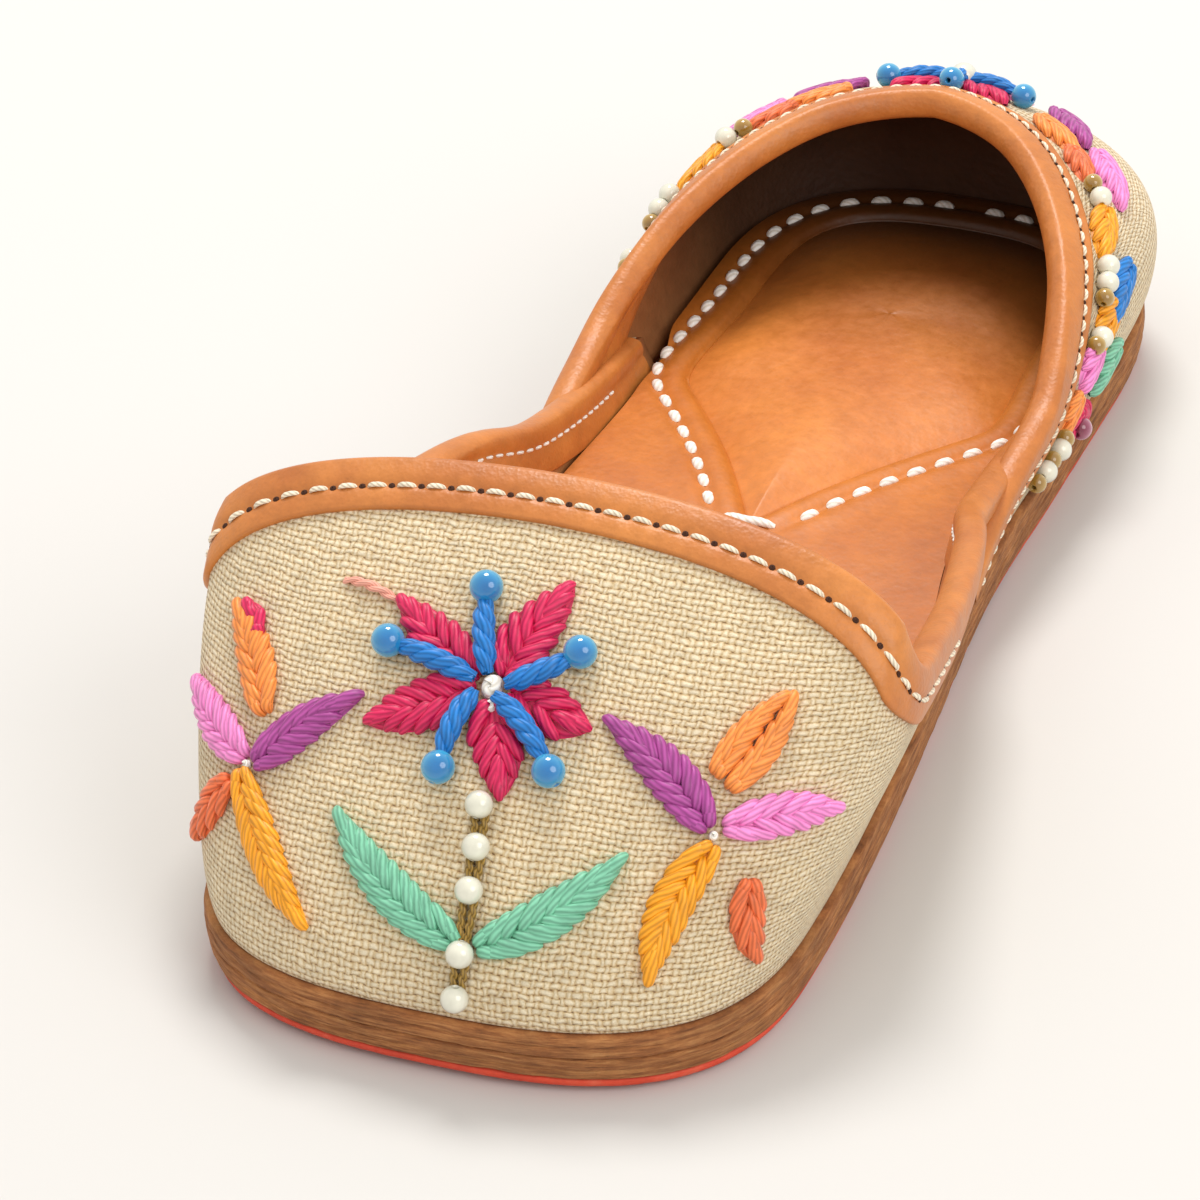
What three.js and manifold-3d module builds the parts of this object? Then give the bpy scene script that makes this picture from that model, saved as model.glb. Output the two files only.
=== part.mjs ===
// A mojari: one flat slip-on shoe with a wide bound throat, an embroidered canvas upper and a leather sole.
//
// Frame, in millimetres: the toe points to -Y, the heel to +Y, up is +Z, and the sole stands on z = 0
// with the middle of its length and width at the origin. The last is straight: the left half mirrors
// the right one, so the shoe fits either foot. "Setback" is a distance from the tip of the toe, and
// "height" is measured from the floor unless a name says otherwise.

import * as THREE from "three";
import Module from "manifold-3d";
import { mergeVertices } from "three/addons/utils/BufferGeometryUtils.js";

const wasm = await Module();
wasm.setup();

// Driving dimensions of the sole
const soleLength = 236;
const ballWidth = 86;
const waistWidth = 71;
const heelWidth = 71;
const toeCurveLength = 38;
const toeSquareness = 2.7;
const heelCurveLength = 38;
const heelSquareness = 2.6;
const waistSetback = 156;
const toeSpring = 1.2;
const toeSpringLength = 48;
const archLift = 1.2;
const archStart = 96;
const archEnd = 166;
const outsoleThickness = 1.4;
const lowerStackThickness = 3.7;
const upperStackThickness = 3.4;
const stackStep = 0.7;
const soleEdge = 1.2;

// Driving dimensions of the upper
const wall = 2;
const throatHeight = 61;
const throatSetback = 57;
const cornerHeight = 41.7;
const cornerSetback = 53;
const throatWidth = 103;
const throatSquareness = 2.5;
const throatSweep = 1.6;
const cornerRadius = 7;
const wingEndSetback = 170;
const wingEndHeight = 16;
const wingSag = 3;
const toeRise = 13;
const toeBulge = 4;
const throatRun = 15;
const collarHeight = 41;
const collarLean = 23;
const collarWidth = 74;
const collarCurveLength = 60;
const collarSquareness = 1.75;
const sideBulge = 3.4;
const backBulge = 0.9;
const quarterFront = 122;
const tuckLength = 34;
const sideSpread = 3;
const sideRise = 16;

// How the vamp's curve changes from its middle to the throat's corner, as shares
const cornerLag = 15;
const lagPower = 6;
const cornerBulgeLoss = 0.3;
const cornerRiseLoss = 0.35;
const cornerRunLoss = 0.45;
const cornerForward = 0.75;
const fallAcross = 0.3;
const fallMiddle = 0.35;
const fallCorner = 1;
const archSlope = 1.6;

// How the quarter leans in: powers of the height, and the share of its way where a side turns into the heel
const leanPower = 5;
const sideLeanPower = 1.4;
const leanTurn = 0.6;
const bulgeTurn = 0.5;

// Driving dimensions of the bindings
const throatBindingWidth = 7.2;
const collarBindingWidth = 5.6;
const bindingThickness = 1.2;
const bindingInside = 6.5;

// Driving dimensions inside the shoe
const insoleThickness = 2;
const coverThickness = 1.2;
const padHeight = 3.4;
const openingPoint = 127;
const openingCorner = 166;
const openingWidth = 50;
const openingMargin = 12;
const toeRoom = 1.2;

// Small steps and soft edges of the layers
const outsoleFootInset = 1.5;
const outsoleTopInset = 1.1;
const midsoleFootInset = 1;
const midsoleSwellInset = 0.5;
const midsoleSwellAt = 0.3;
const shoulderInset = 0.2;
const shoulderDepth = 0.3;
const softEdge = 0.4;
const softTopDepth = 0.5;
const boardChamfer = 0.3;
const boardChamferHeight = 0.5;
const coverChamfer = 0.3;

// The pad's dome: a share of its outline for each share of its rise over the cover
const padDome = [
  { scale: 0.9, rise: 0.45 },
  { scale: 0.68, rise: 0.82 },
  { scale: 0.35, rise: 1 },
];
const padCentreAt = 0.58;
const padWallShare = 0.6;

// Clearances: between curved pieces, and how far the quarter sinks into the wing that it is joined to
const clearance = 0.3;
const seamOverlap = 0.3;

// How finely the pieces are faceted
const outlineSteps = 34;
const archSteps = 9;
const cornerSteps = 4;
const wingSteps = 10;
const quarterSteps = 24;
const wallRows = 7;
const foldSteps = 4;
const openingStraightSteps = 4;
const openingRoundSteps = 14;
const depthSamples = 24;
const faceStep = 0.002;
const weldDistance = 1e-4;
const onMiddle = 0.01;

const midsoleThickness = lowerStackThickness + upperStackThickness;
const soleStack = outsoleThickness + clearance + midsoleThickness;

const mix = (from, to, share) => from + (to - from) * share;
const clamp = (value, low, high) => Math.min(high, Math.max(low, value));

// A soft step from 0 to 1 while the value goes from one end to the other.
function ease(value, start, end) {
  const share = clamp((value - start) / (end - start), 0, 1);
  return share * share * (3 - 2 * share);
}

// Reads one column of a table of sections, rounded between its rows and level past its ends.
function readTable(rows, column, place) {
  const last = rows.length - 1;
  if (place <= rows[0].at) return rows[0][column];
  if (place >= rows[last].at) return rows[last][column];
  const slope = (a, b) => (rows[b][column] - rows[a][column]) / (rows[b].at - rows[a].at);
  const i = rows.findIndex((row) => row.at > place) - 1;
  const span = rows[i + 1].at - rows[i].at;
  const share = (place - rows[i].at) / span;
  const startSlope = i === 0 ? slope(0, 1) : slope(i - 1, i + 1);
  const endSlope = i + 1 === last ? slope(last - 1, last) : slope(i, i + 2);
  const square = share * share;
  const cube = square * share;
  return (
    rows[i][column] * (2 * cube - 3 * square + 1) +
    startSlope * span * (cube - 2 * square + share) +
    rows[i + 1][column] * (3 * square - 2 * cube) +
    endSlope * span * (cube - square)
  );
}

// The sole's outline

// Half the width of the sole's outline between its two end curves.
function sideHalfWidth(setback) {
  if (setback < waistSetback) {
    return mix(ballWidth, waistWidth, ease(setback, toeCurveLength, waistSetback)) / 2;
  }
  return mix(waistWidth, heelWidth, ease(setback, waistSetback, soleLength - heelCurveLength)) / 2;
}

const fineSteps = 120;

// The quarter of a rounded box from its middle (angle 0) to its side (a right angle).
function roundedEnd(halfWidth, depth, squareness, angle) {
  return {
    x: halfWidth * Math.sin(angle) ** (2 / squareness),
    s: depth * (1 - Math.max(0, Math.cos(angle)) ** (2 / squareness)),
  };
}

// A fine line with the distance walked so far at each point.
function walkLine(points) {
  let walked = 0;
  points.forEach((point, i) => {
    if (i > 0) walked += Math.hypot(point.x - points[i - 1].x, point.s - points[i - 1].s);
    point.walked = walked;
  });
  return points;
}

// The right half of the sole's outline, from the toe's tip to the heel's centre.
function walkOutline() {
  const points = [];
  const heelStart = soleLength - heelCurveLength;
  for (let i = 0; i <= fineSteps; i++) {
    const angle = ((i / fineSteps) * Math.PI) / 2;
    points.push(roundedEnd(ballWidth / 2, toeCurveLength, toeSquareness, angle));
  }
  for (let i = 1; i < fineSteps; i++) {
    const setback = mix(toeCurveLength, heelStart, i / fineSteps);
    points.push({ x: sideHalfWidth(setback), s: setback });
  }
  for (let i = fineSteps; i >= 0; i--) {
    const angle = ((i / fineSteps) * Math.PI) / 2;
    const end = roundedEnd(heelWidth / 2, heelCurveLength, heelSquareness, angle);
    points.push({ x: end.x, s: soleLength - end.s });
  }
  return walkLine(points);
}

// The right half of the collar's edge seen from above, from the quarter's front end to the heel's centre.
function walkCollar() {
  const points = [];
  const back = soleLength - collarLean;
  const sideStart = back - collarCurveLength;
  const frontHalf = sideHalfWidth(quarterFront) - soleEdge + sideSpread;
  for (let i = 0; i < fineSteps; i++) {
    const setback = mix(quarterFront, sideStart, i / fineSteps);
    points.push({ x: mix(frontHalf, collarWidth / 2, ease(i, 0, fineSteps)), s: setback });
  }
  for (let i = fineSteps; i >= 0; i--) {
    const angle = ((i / fineSteps) * Math.PI) / 2;
    const end = roundedEnd(collarWidth / 2, collarCurveLength, collarSquareness, angle);
    points.push({ x: end.x, s: back - end.s });
  }
  return walkLine(points);
}

const outline = walkOutline();
const collar = walkCollar();
const halfGirth = outline.at(-1).walked;

// A place on a line at a distance from its start, with its outward direction.
function placeOn(line, distance) {
  const total = line.at(-1).walked;
  const target = clamp(distance, 0, total);
  const next = clamp(line.findIndex((point) => point.walked >= target), 1, line.length - 1);
  const a = line[next - 1];
  const b = line[next];
  const share = (target - a.walked) / (b.walked - a.walked);
  const before = line[Math.max(0, next - 2)];
  const after = line[Math.min(line.length - 1, next + 1)];
  let dx = after.x - before.x;
  let ds = after.s - before.s;
  const x = mix(a.x, b.x, share);
  if (x < onMiddle) {
    dx = a.s < soleLength / 2 ? 1 : -1;
    ds = 0;
  }
  const size = Math.hypot(dx, ds);
  return { x, s: mix(a.s, b.s, share), nx: ds / size, ns: -dx / size };
}

const edgePlace = (distance) => placeOn(outline, distance);

// The distance along the outline at which its side has come to a setback.
function distanceAt(setback) {
  const i = outline.findIndex((point) => point.s >= setback);
  const a = outline[i - 1];
  const b = outline[i];
  return mix(a.walked, b.walked, (setback - a.s) / (b.s - a.s));
}

// How far the whole sole is lifted off the floor: the toe springs up, and so does the waist a little.
function groundLift(setback) {
  const spring = toeSpring * Math.max(0, 1 - setback / toeSpringLength) ** 2;
  const middle = (archStart + archEnd) / 2;
  const arch = archLift * ease(setback, archStart, middle) * ease(setback, archEnd, middle);
  return spring + arch;
}

const inFrame = (x, setback, height) => new THREE.Vector3(x, setback - soleLength / 2, height);

// The vamp, its throat and its wings
//
// A column of the vamp runs from the sole's edge up to the throat. Its place across the shoe is u:
// 0 is the middle of the toe, 1 the corner of the throat and 2 the hidden end of the wing,
// with negative values on the left side.

// The throat's edge before its corner is rounded.
function sharpThroat(place) {
  if (place <= 1) {
    const angle = (place * Math.PI) / 2;
    const across = Math.sin(angle) ** (2 / throatSquareness);
    const up = Math.max(0, Math.cos(angle)) ** (2 / throatSquareness);
    return {
      x: (throatWidth / 2) * across,
      s: mix(throatSetback, cornerSetback, across ** throatSweep),
      z: mix(cornerHeight, throatHeight, up),
    };
  }
  const share = place - 1;
  const setback = mix(cornerSetback, wingEndSetback, share);
  const tuckedSetback = quarterFront + tuckLength / 3;
  const drawn = Math.min(1, (setback - cornerSetback) / (tuckedSetback - cornerSetback));
  return {
    x: mix(throatWidth / 2, sideHalfWidth(tuckedSetback) - soleEdge + sideSpread, drawn),
    s: setback,
    z: mix(cornerHeight, wingEndHeight, share) - wingSag * 4 * share * (1 - share),
  };
}

// The throat's edge with its corner rounded by a soft curve of the corner's radius.
const archSpan = cornerRadius / (throatHeight - cornerHeight) / archSlope;
const wingSpan = cornerRadius / (wingEndSetback - cornerSetback);
function throatPlace(place) {
  const start = 1 - archSpan;
  const end = 1 + wingSpan;
  if (place <= start || place >= end) return sharpThroat(place);
  const a = sharpThroat(start);
  const b = sharpThroat(1);
  const c = sharpThroat(end);
  const share = (place - start) / (end - start);
  const weigh = (key) => mix(mix(a[key], b[key], share), mix(b[key], c[key], share), share);
  return { x: weigh("x"), s: weigh("s"), z: weigh("z") };
}

// The foot of a column on the outline: it lies ahead of the throat's corner, and catches up along the wing.
const cornerDistance = distanceAt(cornerSetback - cornerLag);
function vampFootDistance(place) {
  if (place <= 1) return place * cornerDistance;
  const lag = cornerLag * (2 - place) ** lagPower;
  return distanceAt(mix(cornerSetback, wingEndSetback, place - 1) - lag);
}

// The quarter, from its front ends round the heel
//
// One row for each section, at shares of the way along the edge from the quarter's front end to the
// heel's centre, with the height of its top over the sole as a share of the collar's.
const quarterSections = [
  { at: 0, height: 0.06 },
  { at: 0.13, height: 0.27 },
  { at: 0.34, height: 0.46 },
  { at: 0.55, height: 0.73 },
  { at: 0.8, height: 0.95 },
  { at: 1, height: 1 },
];
const quarterFrontDistance = distanceAt(quarterFront);
const quarterShare = (distance) =>
  (distance - quarterFrontDistance) / (halfGirth - quarterFrontDistance);
const collarOverSole = collarHeight - soleStack;
const quarterTop = (share) => collarOverSole * readTable(quarterSections, "height", share);
const pastTop = 1.1;

// A point of the quarter's outer face, over the outline at a distance and at a height over the sole.
// It rises steeply at first and leans in toward the collar's edge at its top.
function quarterFace(distance, rise, inward = 0) {
  const edge = edgePlace(distance);
  const share = quarterShare(distance);
  const top = placeOn(collar, clamp(share, 0, 1) * collar.at(-1).walked);
  const part = clamp(rise / Math.max(quarterTop(share), sideRise), 0, pastTop);
  const lean = part ** mix(sideLeanPower, leanPower, ease(share, 0, leanTurn));
  const fullness = mix(sideBulge, backBulge, Math.max(0, edge.ns) ** 2) * ease(share, 0, bulgeTurn);
  const bulge = fullness * 4 * part * Math.max(0, 1 - part) - inward;
  const footX = edge.x - edge.nx * soleEdge;
  const footS = edge.s - edge.ns * soleEdge;
  return inFrame(
    mix(footX, top.x, lean) + edge.nx * bulge,
    mix(footS, top.s, lean) + edge.ns * bulge,
    groundLift(footS) + soleStack + clearance + rise,
  );
}

// The quarter's outer face at a place along it, -1 and 1 at its front ends and 0 at the heel's centre,
// and a share of its height.
function quarterPoint(place, up) {
  const distance = mix(halfGirth, quarterFrontDistance, Math.abs(place));
  const point = quarterFace(distance, up * quarterTop(quarterShare(distance)));
  if (place > 0) point.x = -point.x;
  return point;
}

// The vamp's outer face. Where it becomes a wing it slips under the quarter, inside its wall.
function vampPoint(u, up) {
  const place = Math.abs(u);
  const distance = vampFootDistance(place);
  const edge = edgePlace(distance);
  const near = Math.min(place, 1);
  const top = throatPlace(place);
  const tuck = ease(edge.s, quarterFront - tuckLength, quarterFront);
  const footX = edge.x - edge.nx * soleEdge;
  const footS = edge.s - edge.ns * soleEdge;
  const foot = inFrame(footX, footS, groundLift(footS) + soleStack + clearance);
  const topPoint = inFrame(top.x, top.s, top.z);
  const reach = (topPoint.z - foot.z) / (cornerHeight - soleStack);
  const scale = place > 1 ? reach : 1;
  const outward = new THREE.Vector3(edge.nx, edge.ns, 0);
  const low = foot
    .clone()
    .addScaledVector(outward, toeBulge * (1 - cornerBulgeLoss * near) * scale);
  low.z += toeRise * (1 - cornerRiseLoss * near) * scale;
  const turn = (near * Math.PI) / 2;
  const forward = mix(1, cornerForward, near * near) * (2 - Math.max(1, place)) ** lagPower;
  const down = mix(fallMiddle, fallCorner, near * near);
  const fall = new THREE.Vector3(fallAcross * Math.sin(turn), -forward, -down);
  const high = topPoint.clone().addScaledVector(fall, throatRun * (1 - cornerRunLoss * near) * scale);
  const curve = new THREE.CubicBezierCurve3(foot, low, high, topPoint);
  const free = curve.getPoint(up);
  const rise = Math.max(0, topPoint.z - foot.z);
  const tucked = quarterFace(distance, rise * up, wall - seamOverlap);
  const point = free.lerp(tucked, tuck);
  if (u < 0) point.x = -point.x;
  return point;
}

// Walls and bindings, laid on either face

// The outward direction of a face at a place.
function faceNormal(face, u, up) {
  const along = face(u + faceStep, up).sub(face(u - faceStep, up));
  const rise = face(u, Math.min(1, up + faceStep)).sub(face(u, Math.max(0, up - faceStep)));
  return along.cross(rise).normalize();
}

// A point at a depth below the top edge, square to that edge, and at a distance out from the face.
// A depth under zero lies above the edge.
const leastSquareness = 0.6;
const deepestShare = 0.98;
const justUnderTop = 0.999;
function belowTop(face, u, depth, out) {
  const edgeLine = face(u + faceStep, 1).sub(face(u - faceStep, 1)).normalize();
  const topLine = face(u, 1).sub(face(u, 1 - faceStep)).normalize();
  const square = Math.max(leastSquareness, edgeLine.clone().cross(topLine).length());
  const wanted = depth / square;
  let up = 1;
  let walked = 0;
  let from = face(u, 1);
  for (let i = 1; i <= depthSamples && walked < wanted; i++) {
    const lower = 1 - (i / depthSamples) * deepestShare;
    const to = face(u, lower);
    const length = to.distanceTo(from);
    up = mix(up, lower, Math.min(1, (wanted - walked) / length));
    walked += length;
    from = to;
  }
  const point = wanted > 0 ? face(u, up) : face(u, 1).addScaledVector(topLine, -wanted);
  return point.addScaledVector(faceNormal(face, u, wanted > 0 ? up : justUnderTop), out);
}

// A geometry from vertices and triangles of their numbers.
function meshOf(vertices, triangles) {
  const geometry = new THREE.BufferGeometry();
  geometry.setAttribute(
    "position",
    new THREE.Float32BufferAttribute(vertices.flatMap((v) => v.toArray()), 3),
  );
  geometry.setIndex(triangles.flat());
  return geometry;
}

// A closed body from a grid of rings: each column holds one closed ring of points, and the first and
// the last ring are filled by flat fans.
function ringBody(rings) {
  const count = rings[0].length;
  const vertices = rings.flat();
  const triangles = [];
  for (let i = 0; i + 1 < rings.length; i++) {
    for (let j = 0; j < count; j++) {
      const a = i * count + j;
      const b = i * count + ((j + 1) % count);
      triangles.push([a, a + count, b + count], [a, b + count, b]);
    }
  }
  const fan = (start, order) => {
    const shape = [];
    const points = rings[start / count];
    const origin = points[0];
    const axisA = points[1].clone().sub(origin).normalize();
    const normal = new THREE.Vector3();
    for (let j = 1; j + 1 < count; j++) {
      const side = points[j].clone().sub(origin);
      normal.add(side.cross(points[j + 1].clone().sub(origin)));
    }
    normal.normalize();
    const axisB = normal.clone().cross(axisA).normalize();
    points.forEach((p) => {
      const d = p.clone().sub(origin);
      shape.push(new THREE.Vector2(d.dot(axisA), d.dot(axisB)));
    });
    THREE.ShapeUtils.triangulateShape(shape, []).forEach(([a, b, c]) => {
      triangles.push(order > 0 ? [start + a, start + b, start + c] : [start + a, start + c, start + b]);
    });
  };
  fan(0, 1);
  fan((rings.length - 1) * count, -1);
  return meshOf(vertices, triangles);
}

// A wall on a face between two distances from it, from the sole's edge to a height above the top edge.
function wallBody(face, places, outer, inner, above) {
  const rings = places.map((u) => {
    const outside = [];
    const inside = [];
    for (let j = 0; j < wallRows; j++) {
      const up = j / wallRows;
      const point = face(u, up);
      const normal = faceNormal(face, u, up);
      const out = point.clone().addScaledVector(normal, outer);
      const inn = point.clone().addScaledVector(normal, inner);
      if (j === 0) {
        out.z = point.z;
        inn.z = point.z;
      }
      outside.push(out);
      inside.push(inn);
    }
    outside.push(belowTop(face, u, -above, outer));
    inside.push(belowTop(face, u, -above, inner));
    return [...outside, ...inside.reverse()];
  });
  return ringBody(rings);
}

// The section of the space that a binding folded over an edge takes up, as depths below the edge and
// distances out from the face: down the outside, round the edge and down the inside.
function bindingSection(width, grow) {
  const outFace = clearance + bindingThickness + grow;
  const inFace = -wall - clearance - bindingThickness - grow;
  const middle = (outFace + inFace) / 2;
  const half = (outFace - inFace) / 2;
  const section = [{ depth: width + grow, out: outFace }];
  for (let i = 0; i <= foldSteps; i++) {
    const angle = (i / foldSteps) * Math.PI;
    section.push({ depth: -outFace * Math.sin(angle), out: middle + half * Math.cos(angle) });
  }
  section.push({ depth: bindingInside + grow, out: inFace });
  return section;
}

function bindingSpace(face, places, width, grow) {
  const section = bindingSection(width, grow);
  return ringBody(places.map((u) => section.map(({ depth, out }) => belowTop(face, u, depth, out))));
}

// Joins and cuts

function solidOf(geometry) {
  const plain = geometry.clone();
  plain.deleteAttribute("normal");
  plain.deleteAttribute("uv");
  const merged = mergeVertices(plain, weldDistance);
  return new wasm.Manifold(
    new wasm.Mesh({
      numProp: 3,
      vertProperties: merged.attributes.position.array,
      triVerts: new Uint32Array(merged.index.array),
    }),
  );
}

// The largest body of a solid: a cut can leave crumbs beside it.
function mainBody(solid) {
  const bodies = solid.decompose();
  return bodies.reduce((best, body) => (body.volume() > best.volume() ? body : best));
}

function geometryOf(solid) {
  const mesh = solid.getMesh();
  const geometry = new THREE.BufferGeometry();
  geometry.setAttribute("position", new THREE.BufferAttribute(mesh.vertProperties, 3));
  geometry.setIndex(new THREE.BufferAttribute(mesh.triVerts, 1));
  return geometry;
}

// Places of the columns

// From the left end of a face to its right end, mirrored about the middle.
function bothSides(half) {
  return [...half.slice(1).reverse().map((u) => -u), ...half];
}

function vampPlaces() {
  const half = [];
  for (let i = 0; i < archSteps; i++) half.push((i / archSteps) * (1 - archSpan));
  for (let i = 0; i <= cornerSteps; i++) half.push(mix(1 - archSpan, 1 + wingSpan, i / cornerSteps));
  for (let i = 1; i <= wingSteps; i++) half.push(mix(1 + wingSpan, 2, i / wingSteps));
  return bothSides(half);
}

function quarterPlaces() {
  const half = [];
  for (let i = 0; i <= quarterSteps; i++) half.push(i / quarterSteps);
  return bothSides(half);
}

// The layers of the sole

const outlineStations = Array.from({ length: outlineSteps + 1 }, (unused, i) =>
  edgePlace((i / outlineSteps) * halfGirth),
);

// A flat layer. Each ring of its side, from the bottom up, is the outline moved in by an inset, drawn
// toward a centre by a scale, and lifted to a height over the ground line of the shoe.
function layerBody(stations, rings, centre = 0) {
  const last = stations.length - 1;
  const vertices = [];
  const number = [];
  rings.forEach((ring) => {
    const inset = (s) => (typeof ring.inset === "function" ? ring.inset(s) : ring.inset || 0);
    const scale = ring.scale ?? 1;
    const row = stations.map((station, i) => {
      const move = inset(station.s);
      const setback = centre + (station.s - station.ns * move - centre) * scale;
      const across = (station.x - station.nx * move) * scale;
      const height = groundLift(setback) + ring.height;
      const right = vertices.push(inFrame(i === 0 || i === last ? 0 : across, setback, height)) - 1;
      if (i === 0 || i === last) return { right, left: right };
      return { right, left: vertices.push(inFrame(-across, setback, height)) - 1 };
    });
    number.push(row);
  });
  const triangles = [];
  const quad = (a, b, c, d) => {
    if (a !== b && b !== c && c !== a) triangles.push([a, b, c]);
    if (a !== c && c !== d && d !== a) triangles.push([a, c, d]);
  };
  for (let i = 0; i < last; i++) {
    for (let r = 0; r + 1 < rings.length; r++) {
      const low = number[r];
      const high = number[r + 1];
      quad(low[i].right, low[i + 1].right, high[i + 1].right, high[i].right);
      quad(low[i + 1].left, low[i].left, high[i].left, high[i + 1].left);
    }
    const bottom = number[0];
    const top = number[rings.length - 1];
    quad(bottom[i].left, bottom[i + 1].left, bottom[i + 1].right, bottom[i].right);
    quad(top[i].right, top[i + 1].right, top[i + 1].left, top[i].left);
  }
  return meshOf(vertices, triangles);
}

function makeOutsole() {
  return layerBody(outlineStations, [
    { inset: outsoleFootInset, height: 0 },
    { inset: outsoleTopInset, height: outsoleThickness },
  ]);
}

// Two layers of stacked leather with a step between them, and a narrow ledge that the canvas stands on.
function makeMidsole() {
  const bottom = outsoleThickness + clearance;
  const seam = bottom + lowerStackThickness;
  const top = bottom + midsoleThickness;
  return layerBody(outlineStations, [
    { inset: midsoleFootInset, height: bottom },
    { inset: midsoleSwellInset, height: mix(bottom, seam, midsoleSwellAt) },
    { inset: shoulderInset, height: seam - shoulderDepth },
    { inset: stackStep, height: seam },
    { inset: 0, height: seam + softEdge },
    { inset: 0, height: top - softTopDepth },
    { inset: softEdge, height: top },
  ]);
}

// The inset that clears the inside of the upper: one wall, and two where the wing lies in the quarter.
const doubledRun = 10;
const insoleRoom = 0.2;
function insideInset(setback) {
  const tuckStart = quarterFront - tuckLength;
  const doubled =
    ease(setback, tuckStart - doubledRun / 2, quarterFront - doubledRun) *
    ease(setback, wingEndSetback + doubledRun, wingEndSetback);
  return soleEdge + wall + clearance + insoleRoom + doubled * (wall - seamOverlap);
}

const insoleBottom = soleStack + clearance;
const insoleTop = insoleBottom + insoleThickness;
const coverBottom = insoleTop + clearance;
const coverTop = coverBottom + coverThickness;

function makeInsole() {
  return layerBody(outlineStations, [
    { inset: (s) => insideInset(s) + boardChamfer, height: insoleBottom },
    { inset: insideInset, height: insoleBottom + boardChamferHeight },
    { inset: insideInset, height: insoleTop },
  ]);
}

// The opening in the cover: a point in front, straight sides to the corners at the waist, and then
// a margin inside the heel's curve. The pad fills it.
const openingBend = 1.6;
const pointSharpness = 2;
const cornerBlendSteps = 4;
function openingStations(inset) {
  const point = openingPoint + inset * pointSharpness;
  const stations = [{ x: 0, s: point, nx: 0, ns: -1 }];
  for (let i = 1; i <= openingStraightSteps; i++) {
    const share = i / openingStraightSteps;
    const bend = openingBend * Math.sin(Math.PI * share);
    const half = openingWidth / 2 - inset;
    const setback = mix(point, openingCorner, share);
    stations.push({ x: half * share - bend, s: setback, nx: 1, ns: 0 });
  }
  const start = distanceAt(openingCorner);
  for (let i = 1; i <= openingRoundSteps; i++) {
    const edge = edgePlace(mix(start, halfGirth, i / openingRoundSteps));
    const share = ease(i, 0, cornerBlendSteps);
    const margin = mix(sideHalfWidth(openingCorner) - openingWidth / 2, openingMargin, share) + inset;
    stations.push({
      x: i === openingRoundSteps ? 0 : edge.x - edge.nx * margin,
      s: edge.s - edge.ns * margin,
      nx: edge.nx,
      ns: edge.ns,
    });
  }
  return stations;
}

const cutterReach = 2;
function makeCover() {
  const inset = (s) => insideInset(s) + toeRoom * ease(s, toeCurveLength, 0);
  const sheet = layerBody(outlineStations, [
    { inset, height: coverBottom },
    { inset, height: coverTop - coverChamfer },
    { inset: (s) => inset(s) + coverChamfer, height: coverTop },
  ]);
  const cutter = layerBody(openingStations(0), [
    { height: coverBottom - cutterReach },
    { height: coverTop + cutterReach },
  ]);
  return geometryOf(mainBody(solidOf(sheet).subtract(solidOf(cutter))));
}

function makePad() {
  const wallRings = [{ height: coverBottom }, { height: coverBottom + coverThickness * padWallShare }];
  const domeRings = padDome.map(({ scale, rise }) => ({
    scale,
    height: coverBottom + mix(coverThickness, padHeight, rise),
  }));
  const centre = mix(openingPoint, soleLength, padCentreAt);
  return layerBody(openingStations(clearance), [...wallRings, ...domeRings], centre);
}

// The upper and its bindings

function makeUpper() {
  const vamp = solidOf(wallBody(vampPoint, vampPlaces(), 0, -wall, 0));
  const quarter = solidOf(wallBody(quarterPoint, quarterPlaces(), 0, -wall, 0));
  return mainBody(vamp.add(quarter));
}

// Everything from the floor up to a height over the ground line, wider than the sole.
const spaceSpread = 6;
const spaceBottom = -1;
function spaceUnder(height) {
  return solidOf(
    layerBody(outlineStations, [
      { inset: -spaceSpread, height: spaceBottom },
      { inset: -spaceSpread, height },
    ]),
  );
}

// The wall of a face with the clearance round it, which its binding leaves free.
function wallSpace(face, places, outside, above) {
  return solidOf(wallBody(face, places, outside, -wall - clearance, above));
}

// The throat's binding passes inside the quarter and clears it, with its own binding, all the way.
function makeThroatBinding() {
  const band = solidOf(bindingSpace(vampPoint, vampPlaces(), throatBindingWidth, 0));
  const quarterOutside = clearance + bindingThickness + clearance;
  return mainBody(
    band
      .subtract(wallSpace(vampPoint, vampPlaces(), clearance, clearance))
      .subtract(wallSpace(quarterPoint, quarterPlaces(), quarterOutside, clearance))
      .subtract(solidOf(bindingSpace(quarterPoint, quarterPlaces(), collarBindingWidth, clearance)))
      .subtract(spaceUnder(coverTop + clearance)),
  );
}

// The collar's binding is cut by the wing that it crosses on its way down to the sole.
function makeCollarBinding() {
  const band = solidOf(bindingSpace(quarterPoint, quarterPlaces(), collarBindingWidth, 0));
  return mainBody(
    band
      .subtract(wallSpace(quarterPoint, quarterPlaces(), clearance, clearance))
      .subtract(wallSpace(vampPoint, vampPlaces(), clearance, clearance))
      .subtract(spaceUnder(soleStack + clearance)),
  );
}

// The finished group

const colours = {
  outsole: 0xc2452f,
  midsole: 0x96633f,
  canvas: 0xdccba6,
  binding: 0xc98b59,
  insole: 0xcf7f42,
};

const shoe = new THREE.Group();

function place(name, geometry, color, roughness) {
  const material = new THREE.MeshStandardMaterial({ color, roughness, metalness: 0 });
  const mesh = new THREE.Mesh(geometry, material);
  mesh.name = name;
  shoe.add(mesh);
}

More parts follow.
